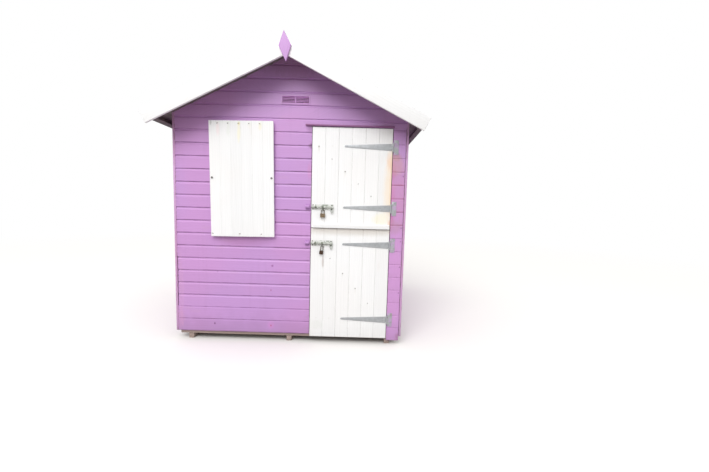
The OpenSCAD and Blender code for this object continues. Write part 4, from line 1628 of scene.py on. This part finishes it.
        holes = (
            (edge, p.side + 10 * MM, -10 * MM, door_top),
            (frame.lo.x, frame.hi.x, frame.lo.z, frame.hi.z),
            (vent.lo.x + rim, vent.hi.x - rim, vent.lo.z + rim, vent.hi.z - rim),
            (-p.side - 1 * MM, -p.side + 6 * MM, *self.short_ends),
        )
        out, inward = self.outline_reach
        cuts = [(self.gable_outline(), p.front - out, p.front + inward, Cut.INSIDE)]
        near, far = self.hole_reach
        cuts += [(rectangle(*hole), p.front - near, p.front + far, Cut.OUTSIDE) for hole in holes]
        self.wall(
            "front_shiplap", ("front_wall_left", "front_gable"), Matrix.Translation((-p.side, p.front, 0)),
            2 * p.side, Box.of("front_gable").hi.z, self.paint("mauve_front", nails, colour_patches), (3, 11), cuts,
            self.shallow_rows,
        )

        strip_columns = (p.side - 22 * MM, right.lo.x + 16 * MM)
        strip_nails = ShiplapNails(0, strip_columns, right.lo.z, self.strip_cover)
        colour_patches = (
            ColourPatch(p.side - 0.06, 0.55, 0.15, 0.75, (216, 158, 214), 0.6, 0.1),
            ColourPatch(p.side - 0.06, 1.38, 0.13, 0.38, (206, 142, 172), 0.35, 0.4),
            ColourPatch(right.lo.x, 1.57, 0.050, 0.10, (205, 115, 165), 0.5, 0.4),
            ColourPatch(right.lo.x, 1.38, 0.042, 0.14, (210, 134, 184), 0.45, 0.4),
            ColourPatch(right.lo.x, 1.13, 0.038, 0.10, (205, 115, 165), 0.5, 0.4),
            ColourPatch(p.side, 0.07, 0.05, 0.05, (150, 96, 120), 0.4),
            ColourPatch(0.92, 1.69, 0.06, 0.05, (178, 130, 132), 0.6, 0.2),
            ColourPatch(0.92, 1.62, 0.1, 0.12, (206, 158, 168), 0.6, 0.1),
            ColourPatch(0.92, 1.08, 0.12, 0.09, (188, 146, 172), 0.5, 0.2),
        )
        colour_patches += tuple(
            ColourPatch(p.side - 16.5 * MM, z, 0.009, 0.009, (124, 66, 124), 0.6, 0.2)
            for z in (0.484, 0.7205, 0.951, 1.072, 1.5246)
        )
        outline = rectangle(right.lo.x, right.hi.x - self.trim_gap, right.lo.z, right.hi.z)
        cut = outline, p.front - out, p.front + inward, Cut.INSIDE
        corner = Matrix.Translation((right.lo.x, p.front, 0))
        paint = self.paint("mauve_strip", strip_nails, colour_patches, 1.9, (1.05, 1.65))
        self.wall(
            "hinge_strip_shiplap", ("front_wall_right",), corner, right.size.x, right.hi.z, paint,
            (8, 12), [cut], 99,
        )

        spots = [*nails.places(p.base, door_top), *strip_nails.places(right.lo.z, right.hi.z)]
        first = p.base + self.gable_row * self.cover + nails.rise
        spots += [
            (x, z) for z in np.arange(first, self.gable_peak, self.cover) for x in self.gable_nails
            if z < self.gable_peak - abs(x) * math.tan(ROOF_PITCH)
        ]
        heads = [
            (x, p.front, z) for x, z in spots
            if not (shutter.lo.x < x < shutter.hi.x and shutter.lo.z < z < shutter.hi.z)
        ]
        fixed("front_nails", Head.NAIL.made(*self.nail), heads, MAUVE_NAILS, 5)

    def back(self) -> None:
        """Back wall: boards from side to side, with three rows of studs behind them."""
        p, pitch = self.places, self.stud_pitch
        top = Box.of("back_wall").hi.z
        corner = p.side - 2 * self.stud_half
        nails = ShiplapNails(0, (-corner, -pitch, 0.0, pitch, corner), p.base, self.cover)
        place = Matrix.Translation((p.side, p.back, 0)) @ Matrix.Rotation(math.pi, 4, "Z")
        paint = self.paint("mauve_back", nails)
        out, inward = self.outline_reach
        cut = self.gable_outline(), p.back - inward, p.back + out, Cut.INSIDE
        self.wall("back_shiplap", ("back_wall",), place, 2 * p.side, top, paint, (21, 13), [cut])
        under = top - 50 * MM
        heads = [
            (x, p.back, z) for x, z in nails.places(p.base, top)
            if z < under - abs(x) * math.tan(ROOF_PITCH)
        ]
        fixed("back_nails", Head.NAIL.made(*self.nail), heads, MAUVE_NAILS, 6, facing=-FRONT)

    def sides(self) -> None:
        """Left and right walls."""
        p, studs, wall = self.places, Box.of("side_wall_studs"), Box.of("right_wall")
        inset, room = self.stud_half, 10 * MM
        rows = (float(y) for y in np.linspace(studs.lo.y + inset, studs.hi.y - inset, self.stud_rows))
        nails = ShiplapNails(1, (wall.lo.y + inset, *rows, wall.hi.y - inset), p.base, self.cover)
        paint = self.paint("mauve_side", nails)
        rise = room * math.tan(ROOF_PITCH)
        drop = self.thickness * math.tan(ROOF_PITCH)
        for node, sign, seed in (("right_wall", 1, 31), ("left_wall", -1, 41)):
            box = Box.of(node)
            start = box.lo.y if sign > 0 else box.hi.y
            quarter = Matrix.Rotation(sign * math.pi / 2, 4, "Z")
            place = Matrix.Translation((sign * p.side, start, 0)) @ quarter
            outer, inner = sign * (p.side + room), sign * (p.side - self.thickness - room)
            outline = [
                (outer, p.base), (inner, p.base), (inner, box.hi.z + rise), (outer, box.hi.z - drop - rise)
            ]
            cut = outline, box.lo.y - room, box.hi.y + room, Cut.INSIDE
            self.wall(f"{node}_shiplap", (node,), place, box.size.y, box.hi.z, paint, (seed, seed + 1), [cut])
            heads = [(sign * p.side, y, z) for y, z in nails.places(p.base, box.hi.z - 0.02)]
            head = Head.NAIL.made(*self.nail)
            fixed(f"{node}_nails", head, heads, MAUVE_NAILS, seed, facing=Vector((sign, 0, 0)))


@dataclass
class Matchboards:
    """Upright boards with V-shaped joints, as on the door leaves and the shutter."""

    width: float
    thickness: float
    length: float
    count: int = 6
    joint_half: float = 3 * MM
    joint_depth: float = 2.5 * MM
    gap: float = 0.6 * MM

    def section(self) -> list[Pair]:
        """Gives the outline of one board.

        Returns:
            Points as depth behind the face and width from the board's left edge.
        """
        wide = self.width / self.count
        g, h, d, t = self.gap / 2, self.joint_half, self.joint_depth, self.thickness
        return [
            (0, h), (0, wide - h), (0.12 * d, wide - 0.8 * h), (d, wide - g), (t, wide - g), (t, g),
            (d, g), (0.12 * d, 0.8 * h),
        ]

    def lay(self, name: str, corner: Vector, finish: Finish, seed: int, stations: int = 6) -> Obj:
        """Lays the boards side by side.

        Args:
            name: The piece's name.
            corner: Lower left corner of the front face.
            finish: The boards' finish.
            seed: Seed of the play, from which that of the tones follows.
            stations: Lengths that each board is divided into.

        Returns:
            The boards as one object.
        """
        stand = Matrix(((0, 0, 1, 0), (0, 1, 0, 0), (1, 0, 0, 0), (0, 0, 0, 1)))
        board = swept(self.section(), self.length, stations, Matrix.Translation(corner) @ stand)
        step = Vector((self.width / self.count, 0, 0))
        play, waver = (0.0001, 0.0003, 0.0004), (0.0004, 0.0008, 0.0)
        made = laid(name, board, self.count, step, finish, seed, play, waver)
        tag_boards(smooth(made, 20.0), seed + 100)
        return made


@dataclass
class DoorLeaf:
    """One leaf of the stable door: boards, ledges, brace and nails."""

    places: Places
    leaf: Leaf
    colour_patches: tuple[ColourPatch, ...]
    nail_shifts: Pair
    brace_half: float = 45 * MM
    nail: Pair = (3.6, 0.7)

    def build(self) -> None:
        """Builds the leaf."""
        word, hinges, body = self.leaf.word, self.leaf.hinges, self.leaf.body
        box, brace = Box.of(f"{word}_door_boards"), Box.of(f"{word}_door_brace")
        boards = Matchboards(*box.size)
        top, foot = brace.hi.z + self.nail_shifts[0], brace.lo.z + self.nail_shifts[1]
        wide = self.brace_half * math.hypot(brace.size.x, brace.size.z) / brace.size.z
        line = (brace.lo.x + wide, top), (brace.hi.x - wide, foot)
        nails = LeafNails(box.lo.x, box.size.x / boards.count, boards.count, hinges, line)
        paint = replace(
            WHITE_PAINT, name=f"{word}_leaf_white", colour=(252, 252, 252), drift=(251, 250, 249),
            seam=0.08, ends=0.06, grime=0.04, splash=0.08, nails=nails, bleed=0.7, bleed_size=10 * MM,
            halo=(128, 122, 104), run=(206, 200, 188), colour_patches=self.colour_patches,
            face=self.places.leaf_front, patch_depth=15 * MM,
        )
        made = boards.lay(f"{word}_leaf_boards", box.lo, paint, 60 + len(word))
        deliver(made, paint, f"{word}_door_boards", body=body)
        strap_tip = Box.of(f"{word}_door_hinge_straps").lo.x
        for row, spots, finish in zip(("ledge", "brace"), nails.places(), (WHITE_NAILS, GREY_NAILS)):
            heads = [
                (x, box.lo.y, z) for x, z in spots
                if x <= strap_tip or min(abs(z - level) for level in hinges) >= self.leaf.strap_half
            ]
            fixed(f"{word}_{row}_nails", Head.NAIL.made(*self.nail), heads, finish, 7, body)
        for part in ("ledges", "brace"):
            worked(f"{word}_door_{part}", f"{word}_leaf_{part}", WHITE_PAINT, 1.5, 70 + len(part), body=body)


@dataclass
class StableDoor:
    """Both leaves with the weather bar between them."""

    places: Places
    upper_shifts: Pair = (-15 * MM, 0.0)
    lower_shifts: Pair = (-14 * MM, 22 * MM)

    def build(self) -> None:
        """Builds the leaves and the weather bar."""
        edge, middle = Box.of("upper_door_boards").hi.x, Box.of("lower_door_boards").mid.x
        upper = (
            ColourPatch(edge, 1.42, 0.085, 0.46, (253, 234, 210), 0.7, 0.2),
            ColourPatch(edge, 1.46, 0.024, 0.36, (250, 216, 184), 0.5, 0.3),
            ColourPatch(edge - 0.004, 1.65, 0.060, 0.11, (249, 212, 182), 0.65, 0.2),
            ColourPatch(edge, 1.105, 0.030, 0.05, (245, 190, 160), 0.6, 0.4),
            ColourPatch(edge - 0.085, 1.14, 0.09, 0.09, (253, 246, 220), 0.6, 0.4),
        )
        lower = (
            ColourPatch(0.300, 0.745, 0.012, 0.075, (200, 190, 185), 0.7, 0.4),
            ColourPatch(0.25, 0.17, 0.09, 0.06, (224, 228, 218), 0.25),
            ColourPatch(edge, 1.03, 0.02, 0.03, (240, 200, 170), 0.4),
            # Painted shadow: a grey band across the top of the lower leaf, under the weather bar.
            ColourPatch(middle, 1.055, 0.8, 0.085, (222, 215, 207), 0.8, 0.1),
        )
        DoorLeaf(self.places, UPPER, upper, self.upper_shifts).build()
        DoorLeaf(self.places, LOWER, lower, self.lower_shifts).build()
        worked("upper_door_weather_bar", "weather_bar", WHITE_PAINT, 2.0, 81, 3, body=UPPER.body)


@dataclass
class TeeHinges:
    """Straps, wall plates and their screws."""

    places: Places
    steel: float = 3 * MM
    strap_inset: float = 18 * MM
    plate_inset: float = 14 * MM
    tip_screws: Pair = (22 * MM, 130 * MM)
    root_screws: tuple[Pair, ...] = ((-120 * MM, 0.0), (-20 * MM, 16 * MM), (-20 * MM, -16 * MM))
    plate_screws: tuple[float, ...] = (-50 * MM, -18 * MM, 18 * MM, 50 * MM)
    screw: Pair = (4.2, 2.2)

    def build(self) -> None:
        """Builds both pairs of hinges."""
        for leaf in (UPPER, LOWER):
            node = f"{leaf.word}_door_hinge_straps"
            box = Box.of(node)
            worked(node, f"{leaf.word}_tee_straps", ZINC, 0.5, body=leaf.body)
            root = box.hi.x - self.strap_inset
            spots = [(box.lo.x + x, 0.0) for x in self.tip_screws]
            spots += [(root + x, z) for x, z in self.root_screws]
            face = self.places.leaf_front - self.steel
            heads = [(x, face, level + z) for level in leaf.hinges for x, z in spots]
            head = Head.SCREW.made(*self.screw)
            fixed(f"{leaf.word}_strap_screws", head, heads, ZINC, 9, leaf.body)
        worked("hinge_plates", "hinge_wall_plates", PLATE_ZINC, 0.5)
        x, face = Box.of("hinge_plates").hi.x - self.plate_inset, self.places.front - self.steel
        levels = UPPER.hinges + LOWER.hinges
        heads = [(x, face, level + z) for level in levels for z in self.plate_screws]
        fixed("hinge_plate_screws", Head.SCREW.made(*self.screw), heads, PLATE_ZINC, 10)


@dataclass
class Padbolts:
    """Both padbolts with their keepers, padlocks and screws."""

    places: Places
    steel: float = 3 * MM
    shoulders: Pair = (35.5 * MM, 34 * MM)
    end_screws: Pair = (9 * MM, 12 * MM)
    middle_screws: Pair = (60 * MM, 50 * MM)
    screw_half: float = 17 * MM
    keeper_half: float = 10 * MM
    ear: float = 19.5 * MM
    screw: Pair = (4.8, 2.2)
    keeper_screw: Pair = (3.6, 2.2)

    def build(self) -> None:
        """Builds both padbolts."""
        face = self.places.leaf_front - self.steel
        locks = (BRASS, SHACKLE_BRASS), (DARK_BRASS, SHACKLE_STEEL)
        for leaf, shoulder, (lock, shackle) in zip((UPPER, LOWER), self.shoulders, locks):
            word, box = leaf.word, Box.of(f"{leaf.word}_padbolt")
            top = Box.of(f"{word}_padlock").lo.z + shoulder
            worked(
                f"{word}_padbolt", f"{word}_bolt_plate", BOLT_PLATE, 0.4, body=leaf.body, other=BOLT_ZINC,
                where=lambda side: not (side.normal.y < -0.9 and side.center.y > face - 0.5 * MM),
            )
            worked(f"{word}_bolt", f"{word}_bolt_bar", BOLT_BAR, 0.4, body=leaf.bar)
            worked(
                f"{word}_padlock", f"{word}_padlock_body", lock, 1.2, segments=3, body=leaf.body,
                other=shackle, where=lambda side: side.center.z > top,
            )
            for row, (left, right), finish in (
                ("end", self.end_screws, IRON), ("middle", self.middle_screws, BOLT_PLATE)
            ):
                heads = [
                    (x, face, leaf.bolt + z) for x in (box.lo.x + left, box.hi.x - right)
                    for z in (-self.screw_half, self.screw_half)
                ]
                head = Head.SCREW.made(*self.screw)
                fixed(f"{word}_bolt_{row}_screws", head, heads, finish, 12, leaf.body)
        worked("bolt_keepers", "painted_keepers", KEEPER_STEEL, 0.4)
        middle, half = Box.of("bolt_keepers").mid.x, self.keeper_half
        heads = [
            (middle + x, self.places.front - self.steel, leaf.bolt + z)
            for leaf in (UPPER, LOWER) for x in (-half, half) for z in (-self.ear, self.ear)
        ]
        fixed("keeper_screws", Head.SCREW.made(*self.keeper_screw), heads, KEEPER_STEEL, 13)


@dataclass
class Shutter:
    """Boarded shutter on battens with two bolts, and the window behind it."""

    nail_inset: float = 24 * MM
    top_nails: tuple[float, ...] = (-0.618, -0.529, -0.437, -0.347, -0.255)
    bottom_nails: tuple[float, ...] = (-0.674, -0.436, -0.247)
    bolt_radius: float = 9 * MM
    nail: Pair = (3.8, 0.9)
    bolt_dome: Pair = (7.2, 5.0)

    def build(self) -> None:
        """Builds the shutter and the window."""
        box = Box.of("shutter_boards")
        turn = Matrix.Translation(box.mid) @ Matrix.Rotation(-SHUTTER_TILT, 4, "Y")
        turn = turn @ Matrix.Translation(-box.mid)
        sine, cosine = math.sin(SHUTTER_TILT), math.cos(SHUTTER_TILT)
        scale = cosine**2 - sine**2
        width = (box.size.x * cosine - box.size.z * sine) / scale
        height = (box.size.z * cosine - box.size.x * sine) / scale
        corner = Vector((box.mid.x - width / 2, box.lo.y, box.mid.z - height / 2))
        low, high = corner.z + self.nail_inset, corner.z + height - self.nail_inset
        nails = NailPoints((*((x, high) for x in self.top_nails), *((x, low) for x in self.bottom_nails)))
        streaks = (
            (0.10, (250, 232, 232), 0.5), (0.10, (234, 238, 230), 0.4), (0.15, (249, 242, 196), 0.4),
            (0.02, (242, 240, 230), 0.3), (0.04, (248, 242, 206), 0.4),
        )
        colour_patches = tuple(
            ColourPatch(x, high - drop / 2, 0.022, drop / 2 + 0.03, colour, strength, 0.3)
            for x, (drop, colour, strength) in zip(self.top_nails, streaks)
        )
        colour_patches += (
            ColourPatch(self.top_nails[2], high, 0.014, 0.022, (232, 218, 150), 0.5, 0.4),
            ColourPatch(corner.x + 0.012, high, 0.014, 0.03, (186, 184, 180), 0.4, 0.6),
        )
        paint = replace(
            WHITE_PAINT, name="shutter_white", ends=0.05, grime=0.03, splash=0.0, nails=nails, bleed=0.6,
            bleed_size=8 * MM, halo=(104, 92, 84), run=(214, 206, 190), colour_patches=colour_patches, face=box.lo.y,
        )
        boards = Matchboards(width, box.size.y, height, joint_half=2 * MM, joint_depth=1.4 * MM, gap=0.3 * MM)
        made = boards.lay("shutter_matchboards", corner, paint, 91)
        made.data.transform(turn)
        deliver(made, paint, "shutter_boards")
        heads = [turn @ Vector((x, box.lo.y, z)) for x, z in nails.points]
        fixed("shutter_nails", Head.NAIL.made(*self.nail), heads, IRON, 15)
        worked("shutter_battens", "shutter_back_battens", WHITE_PAINT, 1.5, 93)
        worked("shutter_bolts", "shutter_bolt_shanks", GREY_IRON, 0.3)
        bolts, inset = Box.of("shutter_bolts"), self.bolt_radius
        corners = (bolts.lo.x + inset, bolts.lo.z + inset), (bolts.hi.x - inset, bolts.hi.z - inset)
        heads = [(x, bolts.lo.y + 2 * MM, z) for x, z in corners]
        fixed("shutter_bolt_domes", Head.BOLT.made(*self.bolt_dome), heads, GREY_IRON, 4)
        worked("window_frame", "window_sash", WHITE_PAINT, 1.5, 95)
        worked("window_glass", "window_pane", GLASS, 0.3)


@dataclass
class GableVent:
    """Moulded louvre vent in the gable."""

    rim: float = 1.5 * MM

    def build(self) -> None:
        """Builds the vent; the slats behind its rim get a paler copy of its paint, painted light against the
        shade between the louvres.
        """
        face = Box.of("gable_vent").lo.y + self.rim
        worked(
            "gable_vent", "gable_louvre_vent", VENT_PAINT, 0.5, 97, other=LIGHTENED_SLAT_PAINT,
            where=lambda side: side.center.y > face,
        )


@dataclass
class Roof:
    """Roof boards, felt, ridge capping, bargeboards, finials and the timbers under them."""

    places: Places
    board_width: float = 96 * MM
    board_thickness: float = 12 * MM
    board_depth: float = 6.1 * MM
    felt_thickness: float = 3 * MM
    turn_down: float = 56 * MM
    lap_start: float = 0.55
    lap_end: float = 0.62
    clout_pitch: float = 0.12
    clout_inset: float = 20 * MM
    cap_clouts: float = 135 * MM
    end_clouts: Pair = (200 * MM, 50 * MM)
    barge_nails: Pair = (0.16, 1.14)
    barge_rows: Pair = (28 * MM, 84 * MM)
    nail: Pair = (3.2, 0.7)
    clout: Pair = (5.0, 1.0)

    @property
    def slope(self) -> Matrix:
        """Takes (down the slope, along the hut, out of the roof) to the hut's frame."""
        return Matrix.Translation((0, 0, self.places.ridge)) @ Matrix.Rotation(ROOF_PITCH, 4, "Y")

    @property
    def eaves(self) -> float:
        """Length of the slope from the ridge to the boards' lower edge."""
        return Box.of("roof_boards").hi.x / math.cos(ROOF_PITCH)

    def sheet(self, section: list[Pair], stations: int) -> Obj:
        """Sweeps a section along the hut.

        Args:
            section: Points as height out of the roof and place down the slope.
            stations: Number of equal lengths that the sweep is divided into.

        Returns:
            The swept object.
        """
        start, end = self.places.roof_ends
        along = Matrix(((0, 0, 1, 0), (1, 0, 0, start), (0, 1, 0, 0), (0, 0, 0, 1)))
        return swept(section, end - start, stations, self.slope @ along)

    def build(self) -> None:
        """Builds the roof."""
        self.boards()
        self.felt()
        self.clouts()
        worked("front_bargeboards", "front_white_barges", WHITE_PAINT, 2.0, 111, 3)
        worked("back_bargeboards", "back_white_barges", WHITE_PAINT, 2.0, 113, 3)
        worked("finials", "kite_finials", PINK_PAINT, 3.0, 115, 3)
        for node, way in (("front_bargeboards", FRONT), ("back_bargeboards", -FRONT)):
            box = Box.of(node)
            y = box.lo.y if way.y < 0 else box.hi.y
            heads = [
                Matrix.Diagonal((side, 1, 1, 1)) @ (self.slope @ Vector((s, y, -d)))
                for side in (1, -1) for s in np.linspace(*self.barge_nails, 5) for d in self.barge_rows
            ]
            fixed(f"{node}_nails", Head.NAIL.made(*self.nail), heads, WHITE_NAILS, 23, facing=way)
        worked("ridge_beam", "sawn_ridge_beam", FRAME_TIMBER, 1.2, 121)
        worked("roof_rafters", "sawn_rafters", FRAME_TIMBER, 1.2, 123)
        worked("eaves_battens", "painted_eaves_battens", ROOF_PAINT, 1.2, 125)

    def boards(self) -> None:
        """Boards along the hut, with V-shaped joints on the underside."""
        count = round(self.eaves / self.board_width)
        wide = self.eaves / count
        d0, d1 = self.board_depth, self.board_depth + self.board_thickness
        g, v = 0.3 * MM, 2.5 * MM
        section = [(-d0, g), (-d0, wide - g), (-d1 + v, wide - g), (-d1, wide - v), (-d1, v), (-d1 + v, g)]
        step = self.slope.to_3x3() @ Vector((wide, 0, 0))
        play = 0.0002, 0.001, 0.0002
        made = laid("underside_boards", self.sheet(section, 8), count, step, ROOF_PAINT, 17, play)
        mirrored(made)
        tag_boards(smooth(made, 20.0), 101)
        deliver(made, ROOF_PAINT, "roof_boards")

    def felt(self) -> None:
        """Two lapped courses of felt on each slope, turned down over the eaves, and the ridge's strip."""
        t, eaves, start, end = self.felt_thickness, self.eaves, self.lap_start, self.lap_end
        skin, down = 0.2 * MM, -self.felt_thickness - self.turn_down
        lower = [
            (-t, start), (-t, eaves + t), (down, eaves + t), (down, eaves + skin), (-2 * t, eaves + skin),
            (-2 * t, start),
        ]
        upper = [
            (-t, 0.5 * MM), (-t, start - 0.02), (-skin, start + 0.005), (-skin, end), (-t, end),
            (-t, start + 0.004), (-2 * t, start - 0.02), (-2 * t, 0.5 * MM),
        ]
        made = joined("felt_courses", [self.sheet(self.divided(section), 40) for section in (lower, upper)])
        self.ripple(made)
        mirrored(made)
        deliver(smooth(made, 30.0), FELT, "roof_felt")
        worked("ridge_capping", "ridge_felt_strip", FELT, 1.0)

    def divided(self, section: list[Pair], longest: float = 0.12) -> list[Pair]:
        """Divides the long stretches of a section.

        Args:
            section: The section.
            longest: Longest stretch that stays whole.

        Returns:
            The section with more points.
        """
        points = []
        for (d0, s0), (d1, s1) in zip(section, section[1:] + section[:1]):
            steps = max(1, math.ceil(math.hypot(d1 - d0, s1 - s0) / longest))
            points += [(d0 + (d1 - d0) * k / steps, s0 + (s1 - s0) * k / steps) for k in range(steps)]
        return points

    def ripple(self, made: Obj, height: float = 0.8 * MM) -> None:
        """Lifts the felt a little in slow ripples.

        Args:
            made: The felt.
            height: Height of the ripples.
        """
        out = self.slope.to_3x3() @ Vector((0, 0, 1))
        for vertex in made.data.vertices:
            x, y, _ = vertex.co
            wave = math.sin(7.1 * x + 3.3 * math.sin(2.3 * y)) * math.sin(9.7 * y + 2.0 * math.sin(5.0 * x))
            vertex.co += out * height * (0.5 + 0.5 * wave)

    def clouts(self) -> None:
        """Clouts along the felt's laps, eaves and ends."""
        start, end = self.places.roof_ends
        inset, under = self.clout_inset, -self.felt_thickness
        along = np.arange(start + 2 * inset, end - inset, self.clout_pitch)
        rows = (self.cap_clouts, 0.0), (self.lap_end - inset, 0.0), (self.eaves - inset, under)
        spots = [(s, y, lift) for s, lift in rows for y in along]
        first, last = self.end_clouts[0], self.eaves - self.end_clouts[1]
        spots += [
            (s, y, under) for y in (start + inset, end - inset)
            for s in np.arange(first, last, self.clout_pitch) if not self.lap_start < s < self.lap_end
        ]
        heads, ways = [], []
        for side in (1, -1):
            flip = Matrix.Diagonal((side, 1, 1, 1))
            heads += [flip @ (self.slope @ Vector(spot)) for spot in spots]
            ways += [flip.to_3x3() @ (self.slope.to_3x3() @ Vector((0, 0, 1)))] * len(spots)
        fixed("felt_clouts", Head.CLOUT.made(*self.clout), heads, ZINC, 19, facing=ways)


@dataclass
class Carcass:
    """Floor and wall frames, seen through the open door and from below."""

    floor_count: int = 20
    joist_count: int = 6
    joist_half: float = 19 * MM
    nail: Pair = (2.6, 0.4)

    def build(self) -> None:
        """Builds the frames and the floor; the faces of the gable frames at the front get dark paint, painted
        shade for the gaps round the door.
        """
        front = Box.of("gable_wall_studs").lo.y + 0.5 * MM
        for node, name, finish, ease in (
            ("floor_bearers", "ground_bearers", GROUND_TIMBER, 2.0),
            ("floor_joists", "ground_joists", GROUND_TIMBER, 1.5),
            ("gable_wall_studs", "sawn_gable_studs", FRAME_TIMBER, 1.2),
            ("gable_wall_rails", "sawn_gable_rails", FRAME_TIMBER, 1.2),
            ("side_wall_studs", "sawn_side_studs", FRAME_TIMBER, 1.2),
            ("side_wall_plates", "sawn_side_plates", FRAME_TIMBER, 1.2),
        ):
            worked(
                node, name, finish, ease, 200 + len(node), other=SHADE_STOP_PAINT,
                where=lambda side: "gable" in node and side.center.y < front,
            )
        self.floor()

    def floor(self) -> None:
        """Floor boards along the hut, with a nail at each joist."""
        box, joists = Box.of("floor_boards"), Box.of("floor_joists")
        wide = box.size.x / self.floor_count
        g, e, t = 0.5 * MM, 1.2 * MM, box.size.z
        section = [(0, g + e), (0, wide - g - e), (-e, wide - g), (-t, wide - g), (-t, g), (-e, g)]
        lay = Matrix(((0, 0, 1, box.lo.x), (1, 0, 0, box.lo.y), (0, 1, 0, box.hi.z), (0, 0, 0, 1)))
        board = swept(section, box.size.y, 6, lay)
        made = laid("laid_floor_boards", board, self.floor_count, Vector((wide, 0, 0)), FLOOR_TIMBER, 27)
        tag_boards(smooth(made, 20.0), 211)
        deliver(made, FLOOR_TIMBER, "floor_boards")
        inset = self.joist_half
        rows = np.linspace(joists.lo.y + inset, joists.hi.y - inset, self.joist_count)
        middles = [box.lo.x + (k + 0.5) * wide for k in range(self.floor_count)]
        heads = [(x, y, box.hi.z) for x in middles for y in rows]
        fixed("floor_nails", Head.NAIL.made(*self.nail), heads, IRON, 29, facing=Vector((0, 0, 1)))


@dataclass
class PhotoCamera:
    """Camera at the photograph's place and angle."""

    place: Triple = (0.583, -4.076, 1.268)
    yaw: float = 0.088
    pitch: float = 5.40
    roll: float = 1.663
    focal_px: float = 331.69
    frame_px: float = 709.0
    sensor: float = 36.0

    def build(self) -> None:
        """Makes the camera."""
        data = bpy.data.cameras.new("photo camera")
        data.sensor_width = self.sensor
        data.lens = self.sensor * self.focal_px / self.frame_px
        made = bpy.data.objects.new("photo camera", data)
        place = Matrix.Translation(self.place)
        for degrees, axis in ((self.yaw, "Z"), (90 - self.pitch, "X"), (self.roll, "Z")):
            place = place @ Matrix.Rotation(math.radians(degrees), 4, axis)
        made.matrix_world = place
        bpy.context.scene.collection.objects.link(made)
        bpy.context.scene.camera = made


@dataclass
class Studio:
    """Pale floor, soft sky and one large lamp."""

    floor_size: float = 60.0
    floor_colours: tuple[Rgb, Rgb] = ((168, 166, 164), (236, 234, 231))
    floor_fade: Pair = (4.0, 12.0)
    sky_high: float = 1.33
    sky_low: float = 0.57
    lamp_power: float = 225.0
    lamp_size: float = 4.0
    lamp_place: Triple = (-1.2, -6.0, 5.5)
    lamp_aim: Triple = (0.0, -1.0, 1.2)

    def build(self) -> None:
        """Makes the floor, the world and the lamp."""
        bpy.context.scene.view_settings.view_transform = "Standard"
        self.floor()
        self.world()
        self.lamp()

    def floor(self) -> None:
        """A plain pale floor that fades to white far away."""
        half = self.floor_size / 2
        mesh = bpy.data.meshes.new("floor")
        corners = [(x, y, 0) for x, y in rectangle(-half, half, -half, half)]
        mesh.from_pydata(corners, [], [(0, 1, 2, 3)])
        material = bpy.data.materials.new("pale_floor")
        tree = blank(material)
        point = Wire(add(tree, "ShaderNodeTexCoord").outputs["Object"])
        far = point.calc("LENGTH").band(*self.floor_fade)
        rays = add(tree, "ShaderNodeLightPath").outputs
        seen = Wire(rays["Is Camera Ray"]).most(rays["Is Glossy Ray"])
        pale = add(tree, "ShaderNodeBsdfDiffuse", {"Color": seen.blend(*self.floor_colours)})
        white = add(tree, "ShaderNodeEmission", {"Color": (1, 1, 1, 1), "Strength": seen})
        mixed = add(tree, "ShaderNodeMixShader", {0: far, 1: pale, 2: white})
        add(tree, "ShaderNodeOutputMaterial", {"Surface": mixed})
        mesh.materials.append(material)
        piece("floor", mesh)

    def world(self) -> None:
        """Brighter overhead than at the horizon, and plain white where the camera sees it."""
        world = bpy.data.worlds.new("soft sky")
        tree = blank(world)
        bpy.context.scene.world = world
        up = Wire(add(tree, "ShaderNodeTexCoord").outputs["Generated"]).parts()[2]
        rays = add(tree, "ShaderNodeLightPath").outputs
        seen = Wire(rays["Is Camera Ray"]).most(rays["Is Transmission Ray"])
        glow = up.band(-0.1, 0.9).spread(self.sky_low, self.sky_high)
        sky = add(tree, "ShaderNodeBackground", {"Color": (1, 1, 1, 1), "Strength": glow})
        white = add(tree, "ShaderNodeBackground", {"Color": (1, 1, 1, 1), "Strength": 1.0})
        mixed = add(tree, "ShaderNodeMixShader", {0: seen, 1: sky, 2: white})
        add(tree, "ShaderNodeOutputWorld", {"Surface": mixed})

    def lamp(self) -> None:
        """A wide soft lamp above the front, a little to the left."""
        data = bpy.data.lights.new("soft lamp", "AREA")
        data.shape = "DISK"
        data.size = self.lamp_size
        data.energy = self.lamp_power
        made = bpy.data.objects.new("soft lamp", data)
        made.location = self.lamp_place
        made.rotation_mode = "QUATERNION"
        made.rotation_quaternion = (Vector(self.lamp_aim) - Vector(self.lamp_place)).to_track_quat("-Z", "Y")
        bpy.context.scene.collection.objects.link(made)


def main() -> None:
    """Builds the hut's looks round the frame."""
    logging.basicConfig(level=logging.INFO, format="%(message)s")
    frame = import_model()
    log.info("frame: %s", frame)
    places = Places()
    for part in (
        PhotoCamera(), Studio(), Cladding(places), StableDoor(places), TeeHinges(places),
        Padbolts(places), Shutter(), GableVent(), Roof(places), Carcass(),
    ):
        part.build()


if __name__ == "__main__":
    main()
